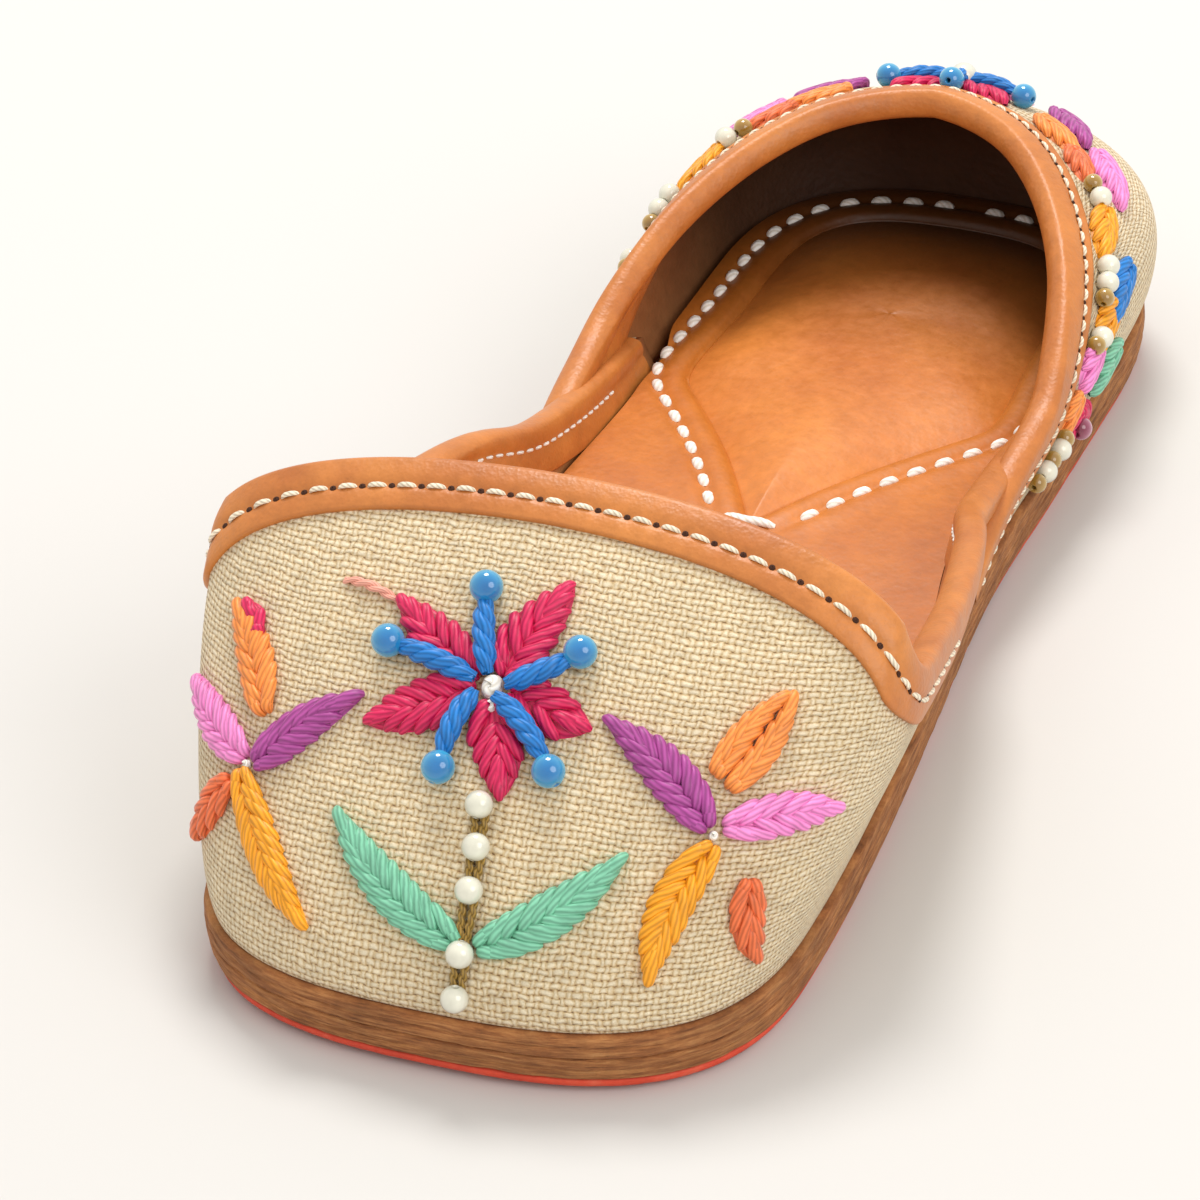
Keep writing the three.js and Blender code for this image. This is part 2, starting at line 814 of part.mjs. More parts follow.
place("outsole", makeOutsole(), colours.outsole, 0.6);
place("midsole", makeMidsole(), colours.midsole, 0.8);
place("upper", geometryOf(makeUpper()), colours.canvas, 0.95);
place("throat_binding", geometryOf(makeThroatBinding()), colours.binding, 0.5);
place("collar_binding", geometryOf(makeCollarBinding()), colours.binding, 0.5);
place("insole", makeInsole(), colours.insole, 0.6);
place("sock_cover", makeCover(), colours.insole, 0.5);
place("heel_pad", makePad(), colours.insole, 0.5);

export default shoe;
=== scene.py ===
# %% [markdown]
# A mojari, from its parts to its last stitch
#
# This lesson dresses one flat slip-on shoe in Blender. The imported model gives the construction: sole,
# upper, bindings, insole and pad, each at its real size. Here each of them gets the surface that a hand
# would feel: canvas, leather, thread, glass and pearl. A real mojari is sewn flat, turned and pulled over
# a last, so every form below is worked out from that last. All lengths are millimetres until a mesh is
# made.

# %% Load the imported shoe
import math
import random

import bmesh
import bpy
import numpy as np
from mathutils import Matrix, Vector, noise


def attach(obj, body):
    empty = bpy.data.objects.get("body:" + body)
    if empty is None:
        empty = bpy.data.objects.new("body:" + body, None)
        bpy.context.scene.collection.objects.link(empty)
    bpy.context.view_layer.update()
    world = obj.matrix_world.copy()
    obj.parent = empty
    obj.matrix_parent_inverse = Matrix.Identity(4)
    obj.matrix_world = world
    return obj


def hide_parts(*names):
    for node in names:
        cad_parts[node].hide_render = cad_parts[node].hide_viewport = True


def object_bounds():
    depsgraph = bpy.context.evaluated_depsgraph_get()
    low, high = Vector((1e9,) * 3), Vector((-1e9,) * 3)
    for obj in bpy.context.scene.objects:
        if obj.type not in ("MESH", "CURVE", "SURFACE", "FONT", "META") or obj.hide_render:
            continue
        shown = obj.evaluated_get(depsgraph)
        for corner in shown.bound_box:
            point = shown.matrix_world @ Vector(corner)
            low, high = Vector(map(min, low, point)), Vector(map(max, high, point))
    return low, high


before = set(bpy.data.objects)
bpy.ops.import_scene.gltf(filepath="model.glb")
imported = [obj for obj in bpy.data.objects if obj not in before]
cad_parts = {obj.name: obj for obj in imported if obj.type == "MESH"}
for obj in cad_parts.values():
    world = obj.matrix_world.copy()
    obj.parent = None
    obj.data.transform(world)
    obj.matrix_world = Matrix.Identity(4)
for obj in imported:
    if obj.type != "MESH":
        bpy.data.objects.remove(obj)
cad_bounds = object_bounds()
MM = 0.001
dice = random.Random(11)
box_low, box_high = (np.array(corner) / MM for corner in cad_bounds)
sole_length = float(box_high[1] - box_low[1])
print("shoe's box in mm", np.round(box_low, 1), np.round(box_high, 1))

# %% [markdown]
# The camera
#
# The picture to match was taken from in front of the toe, a little to its right and well above it, with
# a long lens, because the heel looks hardly smaller than the toe. A camera in Blender can be aimed with a
# Track To constraint, but here its three axes are written out: that shows what "azimuth", "elevation" and
# "roll" do, and it leaves nothing for a constraint to solve.

# %% Aim the camera
view_azimuth = math.radians(22.4)
view_elevation = math.radians(32.3)
view_roll = math.radians(-2.0)
view_distance = 972.0
view_target = Vector((-9.3, -27.4, 20.0))
picture_width = 1200
focal_pixels = 6751.0
sensor_width = 36.0

backward = Vector(
    (
        math.sin(view_azimuth) * math.cos(view_elevation),
        -math.cos(view_azimuth) * math.cos(view_elevation),
        math.sin(view_elevation),
    )
)
level_right = Vector((math.cos(view_azimuth), math.sin(view_azimuth), 0.0))
level_up = level_right.cross(-backward)
camera_right = level_right * math.cos(view_roll) + level_up * math.sin(view_roll)
camera_up = level_up * math.cos(view_roll) - level_right * math.sin(view_roll)

camera_data = bpy.data.cameras.new("camera")
camera_data.sensor_width = sensor_width
camera_data.lens = focal_pixels / picture_width * sensor_width
camera_data.clip_start = 0.05
camera = bpy.data.objects.new("camera", camera_data)
bpy.context.scene.collection.objects.link(camera)
turn = Matrix((camera_right, camera_up, backward)).transposed().to_4x4()
camera.matrix_world = Matrix.Translation((view_target + backward * view_distance) * MM) @ turn
bpy.context.scene.camera = camera
print("lens", round(camera_data.lens, 1), "mm")

# %% [markdown]
# Floor and light
#
# The shoe stands on a warm white sheet of paper in very soft light. Its shadow is hardly more than a pale
# brown pool in front of the toe. The world's own light does most of the work here. A lamp high behind the
# heel gives the leather its highlights, and a wider, weaker one in front and to the right lifts the vamp.
# A strong sun would be simpler, but it would draw a hard edge that the picture doesn't have.

# %% Set the stage
scene = bpy.context.scene
scene.view_settings.view_transform = "Standard"
scene.view_settings.look = "None"


def flat_material(name, colour, roughness):
    material = bpy.data.materials.new(name)
    material.use_nodes = True
    shader = material.node_tree.nodes["Principled BSDF"]
    shader.inputs["Base Color"].default_value = (*colour, 1.0)
    shader.inputs["Roughness"].default_value = roughness
    return material


floor_size = 6.0
paper_white = (0.645, 0.64, 0.63)
daylight_colour = (1.0, 0.965, 0.92, 1.0)
daylight_strength = 0.88

floor_mesh = bpy.data.meshes.new("floor")
half = floor_size / 2
floor_mesh.from_pydata(
    [(-half, -half, 0), (half, -half, 0), (half, half, 0), (-half, half, 0)], [], [(0, 1, 2, 3)]
)
floor = bpy.data.objects.new("floor", floor_mesh)
scene.collection.objects.link(floor)
floor.data.materials.append(flat_material("floor_paper", paper_white, 0.9))

world = bpy.data.worlds.new("daylight")
scene.world = world
world.use_nodes = True
daylight = world.node_tree.nodes["Background"]
daylight.inputs["Color"].default_value = daylight_colour
daylight.inputs["Strength"].default_value = daylight_strength


def area_lamp(name, place, aim, size, power, colour):
    """A round lamp, with its place, its aim and its size in metres."""
    lamp = bpy.data.lights.new(name, "AREA")
    lamp.shape = "DISK"
    lamp.size = size
    lamp.energy = power
    lamp.color = colour
    holder = bpy.data.objects.new(name, lamp)
    scene.collection.objects.link(holder)
    holder.location = Vector(place)
    holder.rotation_euler = (Vector(aim) - Vector(place)).to_track_quat("-Z", "Y").to_euler()


area_lamp("window", (-0.22, 0.56, 1.2), (0.0, -0.02, 0.02), size=0.5, power=11.0, colour=(1.0, 0.97, 0.93))
area_lamp("bounce", (0.95, -0.5, 0.8), (0.02, 0.0, 0.0), size=0.9, power=5.5, colour=(1.0, 0.98, 0.95))
print("stage set with", len(bpy.data.lights), "lamps")

# %% [markdown]
# The last, in numbers
#
# A shoemaker starts from a last, the wooden foot that the shoe is pulled over. Ours is a handful of named
# sizes and a few curves: the outline of the sole, the arched edge of the throat, and the edge of the
# collar. "Setback" is the distance from the tip of the toe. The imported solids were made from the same
# sizes, so the fine cloth laid over these curves falls exactly on them.

# %% Sizes of the last
ball_width = 86
waist_width = 71
heel_width = 71
toe_curve_length = 38
toe_squareness = 2.7
heel_curve_length = 38
heel_squareness = 2.6
waist_setback = 156
toe_spring = 1.2
toe_spring_length = 48
arch_lift = 1.2
arch_start = 96
arch_end = 166
outsole_thickness = 1.4
lower_stack_thickness = 3.7
upper_stack_thickness = 3.4
stack_step = 0.7
sole_edge = 1.2

wall = 2
throat_height = 61
throat_setback = 57
corner_height = 41.7
corner_setback = 53
throat_width = 103
throat_squareness = 2.5
throat_sweep = 1.6
corner_radius = 7
wing_end_setback = 170
wing_end_height = 16
wing_sag = 3
toe_rise = 13
toe_bulge = 4
throat_run = 15
corner_lag = 15
lag_power = 6
collar_height = 41
collar_lean = 23
collar_width = 74
collar_curve_length = 60
collar_squareness = 1.75
side_bulge = 3.4
back_bulge = 0.9
quarter_front = 122
tuck_length = 34
side_spread = 3
side_rise = 16
lean_power = 5
side_lean_power = 1.4

throat_binding_width = 7.2
collar_binding_width = 5.6
insole_thickness = 2
cover_thickness = 1.2
pad_height = 3.4
opening_point = 127
opening_corner = 166
opening_width = 50
opening_margin = 12
toe_room = 1.2
clearance = 0.3
seam_overlap = 0.3

midsole_thickness = lower_stack_thickness + upper_stack_thickness
sole_stack = outsole_thickness + clearance + midsole_thickness
right_angle = math.pi / 2


def mix(start, end, share):
    return start + (end - start) * share


def ease(value, start, end):
    """A soft step from 0 to 1 while the value goes from start to end."""
    share = np.clip((np.asarray(value, float) - start) / (end - start), 0, 1)
    return share * share * (3 - 2 * share)


# %% [markdown]
# The outline of the sole, and the edge of the collar
#
# Both are walked as fine lines, and the distance walked so far is kept beside each point. Then "a place a
# third of the way round" is one look-up, and columns of canvas can stand at even distances. Blender's own
# curve objects could hold these lines, but plain arrays are easier to ask for a point and its direction.

# %% Walk the two lines
fine_steps = 240


def side_half_width(setback):
    """Half the width of the sole's outline between its two end curves."""
    front = mix(ball_width, waist_width, ease(setback, toe_curve_length, waist_setback)) / 2
    heel_start = sole_length - heel_curve_length
    back = mix(waist_width, heel_width, ease(setback, waist_setback, heel_start)) / 2
    return np.where(np.asarray(setback) < waist_setback, front, back)


def rounded_end(half_width, depth, squareness, angle):
    """A quarter of a rounded box, from its middle to its side."""
    across = half_width * np.sin(angle) ** (2 / squareness)
    back = depth * (1 - np.clip(np.cos(angle), 0, 1) ** (2 / squareness))
    return across, back


def walk_line(x, s):
    """A line's points, the distance walked at each and its outward direction there."""
    walked = np.concatenate([[0], np.cumsum(np.hypot(np.diff(x), np.diff(s)))])
    dx = np.gradient(x, walked)
    ds = np.gradient(s, walked)
    middle = x < 0.01
    ds = np.where(middle, 0, ds)
    dx = np.where(middle, np.where(s < sole_length / 2, 1, -1), dx)
    size = np.hypot(dx, ds)
    return {"x": x, "s": s, "walked": walked, "nx": ds / size, "ns": -dx / size}


def walk_outline():
    angle = np.linspace(0, right_angle, fine_steps)
    toe_x, toe_s = rounded_end(ball_width / 2, toe_curve_length, toe_squareness, angle)
    heel_start = sole_length - heel_curve_length
    side_s = np.linspace(toe_curve_length, heel_start, fine_steps)[1:-1]
    heel_x, heel_s = rounded_end(heel_width / 2, heel_curve_length, heel_squareness, angle[::-1])
    x = np.concatenate([toe_x, side_half_width(side_s), heel_x])
    return walk_line(x, np.concatenate([toe_s, side_s, sole_length - heel_s]))


def walk_collar():
    back = sole_length - collar_lean
    side_start = back - collar_curve_length
    share = np.linspace(0, 1, fine_steps)[:-1]
    front_half = float(side_half_width(quarter_front)) - sole_edge + side_spread
    side_x = mix(front_half, collar_width / 2, ease(share, 0, 1))
    side_s = mix(quarter_front, side_start, share)
    angle = np.linspace(right_angle, 0, fine_steps)
    end_x, end_s = rounded_end(collar_width / 2, collar_curve_length, collar_squareness, angle)
    return walk_line(np.concatenate([side_x, end_x]), np.concatenate([side_s, back - end_s]))


outline = walk_outline()
collar = walk_collar()
half_girth = outline["walked"][-1]
collar_girth = collar["walked"][-1]


def place_on(line, distance):
    """x, setback and outward direction on a line at a distance from its start."""
    values = [np.interp(distance, line["walked"], line[key]) for key in ("x", "s", "nx", "ns")]
    size = np.hypot(values[2], values[3])
    return values[0], values[1], values[2] / size, values[3] / size


def distance_at(setback):
    """How far along the outline its side has come to a setback."""
    return np.interp(setback, outline["s"], outline["walked"])


def ground_lift(setback):
    """How far the whole sole is lifted off the floor, at the toe and at the waist."""
    spring = toe_spring * np.clip(1 - np.asarray(setback) / toe_spring_length, 0, 1) ** 2
    middle = (arch_start + arch_end) / 2
    arch = arch_lift * ease(setback, arch_start, middle) * ease(setback, arch_end, middle)
    return spring + arch


def in_frame(x, setback, height):
    return np.stack(np.broadcast_arrays(x, setback - sole_length / 2, height), -1)


print("half the girth of the sole", round(float(half_girth), 1), "mm")

# %% [markdown]
# The two faces of the upper
#
# The vamp is a fan of columns. Each rises from the sole's edge, rounds the toe and runs back to the
# throat, as a Bezier curve of four points. Its wings slip inside the quarter. The quarter is simpler: it
# rises from the sole and leans in toward the collar. Each face is a function of two numbers, so the same
# function makes the canvas, the lining, the bindings and the ground under every embroidered petal.

# %% Functions of the two faces
arch_span = corner_radius / (throat_height - corner_height) / 1.6
wing_span = corner_radius / (wing_end_setback - corner_setback)


def sharp_throat(place):
    """The throat's edge with a sharp corner: 0 in its middle, 1 at the corner, 2 at the wing's end."""
    angle = np.clip(place, 0, 1) * right_angle
    across = np.sin(angle) ** (2 / throat_squareness)
    up = np.clip(np.cos(angle), 0, 1) ** (2 / throat_squareness)
    share = np.clip(place - 1, 0, 1)
    wing_s = mix(corner_setback, wing_end_setback, share)
    tucked_setback = quarter_front + tuck_length / 3
    drawn = np.minimum(1, (wing_s - corner_setback) / (tucked_setback - corner_setback))
    tucked_half = float(side_half_width(tucked_setback)) - sole_edge + side_spread
    on_wing = place > 1
    x = np.where(on_wing, mix(throat_width / 2, tucked_half, drawn), throat_width / 2 * across)
    arch_s = mix(throat_setback, corner_setback, across**throat_sweep)
    s = np.where(on_wing, wing_s, arch_s)
    wing_z = mix(corner_height, wing_end_height, share) - wing_sag * 4 * share * (1 - share)
    z = np.where(on_wing, wing_z, mix(corner_height, throat_height, up))
    return np.stack([x, s, z], -1)


def throat_place(place):
    """The throat's edge with its corner rounded."""
    place = np.asarray(place, float)
    start, end = 1 - arch_span, 1 + wing_span
    a, b, c = (sharp_throat(np.array(p, float)) for p in (start, 1.0, end))
    share = np.clip((place - start) / (end - start), 0, 1)[..., None]
    soft = mix(mix(a, b, share), mix(b, c, share), share)
    inside = ((place > start) & (place < end))[..., None]
    return np.where(inside, soft, sharp_throat(place))


def vamp_foot_distance(place):
    corner_distance = distance_at(corner_setback - corner_lag)
    lag = corner_lag * (2 - np.clip(place, 1, 2)) ** lag_power
    wing_s = mix(corner_setback, wing_end_setback, np.clip(place - 1, 0, 1)) - lag
    return np.where(place <= 1, place * corner_distance, distance_at(wing_s))


quarter_sections = [(0, 0.06), (0.13, 0.27), (0.34, 0.46), (0.55, 0.73), (0.8, 0.95), (1, 1)]
section_at = np.array([at for at, height in quarter_sections])
section_height = np.array([height for at, height in quarter_sections])
quarter_front_distance = float(distance_at(quarter_front))
collar_over_sole = collar_height - sole_stack


def read_sections(place):
    """The quarter's height at a share of its way round, rounded between the rows of its table."""
    place = np.clip(place, section_at[0], section_at[-1])
    i = np.clip(np.searchsorted(section_at, place, side="right") - 1, 0, len(section_at) - 2)
    gaps = np.diff(section_height) / np.diff(section_at)
    inner = (section_height[2:] - section_height[:-2]) / (section_at[2:] - section_at[:-2])
    slopes = np.concatenate([[gaps[0]], inner, [gaps[-1]]])
    span = section_at[i + 1] - section_at[i]
    t = (place - section_at[i]) / span
    return (
        section_height[i] * (2 * t**3 - 3 * t**2 + 1)
        + slopes[i] * span * (t**3 - 2 * t**2 + t)
        + section_height[i + 1] * (3 * t**2 - 2 * t**3)
        + slopes[i + 1] * span * (t**3 - t**2)
    )


def quarter_share(distance):
    return (distance - quarter_front_distance) / (half_girth - quarter_front_distance)


def quarter_top(share):
    return collar_over_sole * read_sections(share)


def quarter_face(distance, rise, inward=0.0):
    """The quarter's outer face over a place of the outline, at a height over the sole."""
    x, s, nx, ns = place_on(outline, distance)
    share = quarter_share(distance)
    top_x, top_s, _, _ = place_on(collar, np.clip(share, 0, 1) * collar_girth)
    part = np.clip(rise / np.maximum(quarter_top(share), side_rise), 0, 1.1)
    lean = part ** mix(side_lean_power, lean_power, ease(share, 0, 0.6))
    fullness = mix(side_bulge, back_bulge, np.clip(ns, 0, 1) ** 2) * ease(share, 0, 0.5)
    bulge = fullness * 4 * part * np.clip(1 - part, 0, 1) - inward
    foot_x, foot_s = x - nx * sole_edge, s - ns * sole_edge
    return in_frame(
        mix(foot_x, top_x, lean) + nx * bulge,
        mix(foot_s, top_s, lean) + ns * bulge,
        ground_lift(foot_s) + sole_stack + clearance + rise,
    )


def mirror_where(points, flip):
    sign = np.where(flip, -1.0, 1.0)
    return points * np.stack([sign, np.ones_like(sign), np.ones_like(sign)], -1)


def quarter_point(place, up):
    """The quarter's outer face: place -1 and 1 at its front ends, 0 at the heel's middle."""
    place, up = np.broadcast_arrays(np.asarray(place, float), np.asarray(up, float))
    distance = mix(half_girth, quarter_front_distance, np.abs(place))
    points = quarter_face(distance, up * quarter_top(quarter_share(distance)))
    return mirror_where(points, place > 0)


def vamp_point(u, up):
    """The vamp's outer face: u is 0 in the middle, 1 at the throat's corner, 2 at the wing's end."""
    u, up = np.broadcast_arrays(np.asarray(u, float), np.asarray(up, float))
    place = np.abs(u)
    distance = vamp_foot_distance(place)
    x, s, nx, ns = place_on(outline, distance)
    near = np.minimum(place, 1)
    top = throat_place(place)
    tuck = ease(s, quarter_front - tuck_length, quarter_front)[..., None]
    foot_x, foot_s = x - nx * sole_edge, s - ns * sole_edge
    foot = in_frame(foot_x, foot_s, ground_lift(foot_s) + sole_stack + clearance)
    top_point = in_frame(top[..., 0], top[..., 1], top[..., 2])
    reach = (top_point[..., 2] - foot[..., 2]) / (corner_height - sole_stack)
    scale = np.where(place > 1, reach, 1.0)
    outward = np.stack([nx, ns, np.zeros_like(nx)], -1)
    low = foot + outward * (toe_bulge * (1 - 0.3 * near) * scale)[..., None]
    low[..., 2] += toe_rise * (1 - 0.35 * near) * scale
    forward = mix(1, 0.75, near**2) * (2 - np.clip(place, 1, 2)) ** lag_power
    fall = np.stack([0.3 * np.sin(near * right_angle), -forward, -0.35 - 0.65 * near**2], -1)
    high = top_point + fall * (throat_run * (1 - 0.45 * near) * scale)[..., None]
    t = up[..., None]
    free = (
        (1 - t) ** 3 * foot
        + 3 * (1 - t) ** 2 * t * low
        + 3 * (1 - t) * t**2 * high
        + t**3 * top_point
    )
    rise = np.clip(top_point[..., 2] - foot[..., 2], 0, None)
    tucked = quarter_face(distance, rise * up, wall - seam_overlap)
    return mirror_where(free * (1 - tuck) + tucked * tuck, u < 0)


def face_normal(face, u, up):
    """The outward direction of a face at a place."""
    step = 0.002
    along = face(u + step, up) - face(u - step, up)
    rise = face(u, np.minimum(1, up + step)) - face(u, np.maximum(0, up - step))
    normal = np.cross(along, rise)
    return normal / np.linalg.norm(normal, axis=-1, keepdims=True)


print("throat's middle", np.round(vamp_point(0.0, 1.0), 1))
print("collar's back", np.round(quarter_point(0.0, 1.0), 1))

# %% [markdown]
# From arrays to meshes
#
# A mesh in Blender is a list of points, a list of faces and, if a pattern has to follow the cloth, a UV
# map. Pushing whole arrays into the mesh is much faster than adding points one by one. Most pieces of a
# shoe are bands: a section that is carried along a line. So one helper joins rings of points into a band,
# and another one turns it into an object that rides with the shoe.

# %% Mesh helpers


def ring_faces(columns, ring, closed_ring=True, closed_band=False):
    """Quads between neighbouring columns of a grid of points."""
    i = np.arange(columns if closed_band else columns - 1)
    j = np.arange(ring if closed_ring else ring - 1)
    i, j = (part.ravel() for part in np.meshgrid(i, j, indexing="ij"))
    i_next, j_next = (i + 1) % columns, (j + 1) % ring
    return np.stack([i * ring + j, i_next * ring + j, i_next * ring + j_next, i * ring + j_next], -1)


def end_faces(start, ring):
    """Quads that close one end of a band whose ring is folded flat: point j meets point ring - 1 - j."""
    j = np.arange(ring // 2 - 1)
    return np.stack([start + j, start + j + 1, start + ring - 2 - j, start + ring - 1 - j], -1)


def make_mesh(name, points, faces, uv=None):
    """A smooth mesh from points in millimetres."""
    points = np.asarray(points, float).reshape(-1, 3)
    mesh = bpy.data.meshes.new(name)
    mesh.vertices.add(len(points))
    mesh.vertices.foreach_set("co", (points * MM).ravel())
    mesh.loops.add(faces.size)
    mesh.loops.foreach_set("vertex_index", faces.ravel())
    mesh.polygons.add(len(faces))
    mesh.polygons.foreach_set("loop_start", np.arange(0, faces.size, faces.shape[1]))
    if uv is not None:
        layer = mesh.uv_layers.new(name="cloth")
        layer.data.foreach_set("uv", np.asarray(uv, float).reshape(-1, 2)[faces.ravel()].ravel())
    mesh.update(calc_edges=True)
    mesh.validate()
    mesh.polygons.foreach_set("use_smooth", np.ones(len(mesh.polygons), bool))
    return mesh


def outward_faces(mesh):
    """Turns every face outward, as a renderer and a slicer both expect."""
    work = bmesh.new()
    work.from_mesh(mesh)
    bmesh.ops.recalc_face_normals(work, faces=work.faces)
    work.to_mesh(mesh)
    work.free()


def add_piece(name, mesh, material, replaces=()):
    """An object of the shoe that rides with it and wears a material."""
    piece = bpy.data.objects.new(name, mesh)
    scene.collection.objects.link(piece)
    mesh.materials.append(material)
    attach(piece, "root")
    if replaces:
        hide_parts(*replaces)
    return piece


def smooth_noise(points, size, seed):
    """Soft random values between about -1 and 1 that change over a size in millimetres."""
    shift = Vector((seed, seed * 0.7, -seed))
    flat = np.asarray(points, float).reshape(-1, 3)
    values = [noise.noise(Vector(point) / size + shift) for point in flat]
    return np.array(values).reshape(np.asarray(points).shape[:-1])


print("helpers ready")

# %% [markdown]
# Writing a material as a recipe
#
# A procedural material is a small graph of nodes. It could be drawn by hand in the Shader Editor. In a
# script a few one-line helpers make it read like a recipe: take some noise, shape it with a ramp, mix it
# into a colour, and press it into the surface as bump.

# %% Material helpers


def tint(red, green, blue):
    """A colour given on a 0 to 255 scale, as the linear light that a shader works with."""
    channels = np.array([red, green, blue]) / 255
    linear = np.where(channels <= 0.04045, channels / 12.92, ((channels + 0.055) / 1.055) ** 2.4)
    return tuple(float(channel) for channel in linear)


def new_material(name, colour, roughness):
    """A material with its plain colour and roughness set, its node tree and its shader."""
    material = flat_material(name, colour, roughness)
    return material, material.node_tree, material.node_tree.nodes["Principled BSDF"]


def feed(tree, socket, value):
    if isinstance(value, bpy.types.NodeSocket):
        tree.links.new(value, socket)
    elif isinstance(value, tuple) and len(value) == 3 and socket.type == "RGBA":
        socket.default_value = (*value, 1.0)
    else:
        socket.default_value = value


def calc(tree, operation, *values):
    node = tree.nodes.new("ShaderNodeMath")
    node.operation = operation
    for socket, value in zip(node.inputs, values):
        feed(tree, socket, value)
    return node.outputs[0]


def place_in_shoe(tree, scale=(1.0, 1.0, 1.0)):
    """The place on the object in millimetres, with its axes stretched if need be."""
    where = tree.nodes.new("ShaderNodeTexCoord")
    stretch = tree.nodes.new("ShaderNodeVectorMath")
    stretch.operation = "MULTIPLY"
    tree.links.new(where.outputs["Object"], stretch.inputs[0])
    stretch.inputs[1].default_value = tuple(part / MM for part in scale)
    return stretch.outputs[0]


def place_on_cloth(tree, scale=(1.0, 1.0)):
    """The place on the piece's own flat cloth in millimetres."""
    where = tree.nodes.new("ShaderNodeUVMap")
    where.uv_map = "cloth"
    stretch = tree.nodes.new("ShaderNodeVectorMath")
    stretch.operation = "MULTIPLY"
    tree.links.new(where.outputs[0], stretch.inputs[0])
    stretch.inputs[1].default_value = (*scale, 1.0)
    return stretch.outputs[0]


def cloud(tree, where, size, detail, rough=0.55):
    """Noise whose blotches are about a size in millimetres."""
    node = tree.nodes.new("ShaderNodeTexNoise")
    tree.links.new(where, node.inputs["Vector"])
    node.inputs["Scale"].default_value = 1.0 / size
    node.inputs["Detail"].default_value = detail
    node.inputs["Roughness"].default_value = rough
    return node.outputs[0]


def cells(tree, where, size):
    """A net of cells that are about a size in millimetres."""
    node = tree.nodes.new("ShaderNodeTexVoronoi")
    tree.links.new(where, node.inputs["Vector"])
    node.inputs["Scale"].default_value = 1.0 / size
    return node.outputs["Distance"]


def ramp(tree, value, *stops):
    """A colour for each value: stops are pairs of a position and a colour."""
    node = tree.nodes.new("ShaderNodeValToRGB")
    tree.links.new(value, node.inputs[0])
    elements = node.color_ramp.elements
    while len(elements) < len(stops):
        elements.new(0.5)
    for element, (position, colour) in zip(elements, stops):
        element.position = position
        element.color = (*colour, 1.0)
    return node.outputs[0]


def grey(tree, value, *stops):
    """A number for each value, read from a ramp of greys."""
    return ramp(tree, value, *((position, (level, level, level)) for position, level in stops))


def stir(tree, share, first, second, how="MIX"):
    """Two colours mixed or multiplied. Inputs 6 and 7 and output 2 are the node's colour sockets."""
    node = tree.nodes.new("ShaderNodeMix")
    node.data_type = "RGBA"
    node.blend_type = how
    feed(tree, node.inputs[0], share)
    feed(tree, node.inputs[6], first)
    feed(tree, node.inputs[7], second)
    return node.outputs[2]


def press(tree, height, depth, under=None):
    """Bump: a height pressed into the surface, at most a depth in millimetres."""
    node = tree.nodes.new("ShaderNodeBump")
    node.inputs["Distance"].default_value = depth * MM
    node.inputs["Strength"].default_value = 1.0
    tree.links.new(height, node.inputs["Height"])
    if under is not None:
        tree.links.new(under, node.inputs["Normal"])
    return node.outputs[0]


print("material helpers ready")

# %% [markdown]
# Leather
#
# The bindings, the lining and the insole are vegetable-tanned leather: tan to orange, a little shinier
# where hands polished it. Close up it has a net of fine pores and creases, so Voronoi cells of half a
# millimetre and more are pressed in, and soft clouds of darker and lighter dye are mixed into the colour.
# Inside, painted shade darkens the colour more and more toward the heel, where the deep back of the
# shoe lies in shadow. Cut edges of sole leather are different: fibrous, layered and dull.

# %% Leather materials


def painted_shade_toward_heel(tree, colour, start, end, darkest):
    """Painted shade: leather darkened more and more from one place along the shoe to another, as the heel's
    deep inside lies in shadow.
    """
    parts = tree.nodes.new("ShaderNodeSeparateXYZ")
    tree.links.new(place_in_shoe(tree), parts.inputs[0])
    share = calc(tree, "DIVIDE", calc(tree, "SUBTRACT", parts.outputs[1], start), end - start)
    shade = grey(tree, share, (0.0, 1.0), (0.5, mix(darkest, 1.0, 0.45)), (1.0, darkest))
    return stir(tree, 1.0, colour, shade, "MULTIPLY")


def leather_material(name, light, dark, roughness, grain, depth=0.05, painted_heel_shade=None):
    material, tree, shader = new_material(name, light, roughness)
    where = place_in_shoe(tree)
    blotches = cloud(tree, where, 22.0, 4.0, 0.6)
    mottle = cloud(tree, where, 2.2, 4.0, 0.7)
    base = ramp(tree, blotches, (0.3, dark), (0.68, light))
    speckle = grey(tree, mottle, (0.25, 0.86), (0.75, 1.1))
    coloured = stir(tree, 1.0, base, speckle, "MULTIPLY")
    pores = cells(tree, where, grain)
    pore_shade = grey(tree, pores, (0.05, 0.86), (0.3, 1.0))
    shaded = stir(tree, 0.55, coloured, stir(tree, 1.0, coloured, pore_shade, "MULTIPLY"))
    # Painted shade: the colour is darkened toward the heel, where the inside of the shoe lies in shadow.
    if painted_heel_shade is not None:
        shaded = painted_shade_toward_heel(tree, shaded, *painted_heel_shade)
    tree.links.new(shaded, shader.inputs["Base Color"])
    gloss = grey(tree, mottle, (0.2, roughness - 0.08), (0.8, roughness + 0.1))
    tree.links.new(gloss, shader.inputs["Roughness"])
    creases = cells(tree, where, grain * 1.7)
    soft = press(tree, cloud(tree, where, 5.0, 3.0), 0.12)
    fine = press(tree, creases, depth, soft)
    tree.links.new(press(tree, pores, depth * 0.7, fine), shader.inputs["Normal"])
    return material


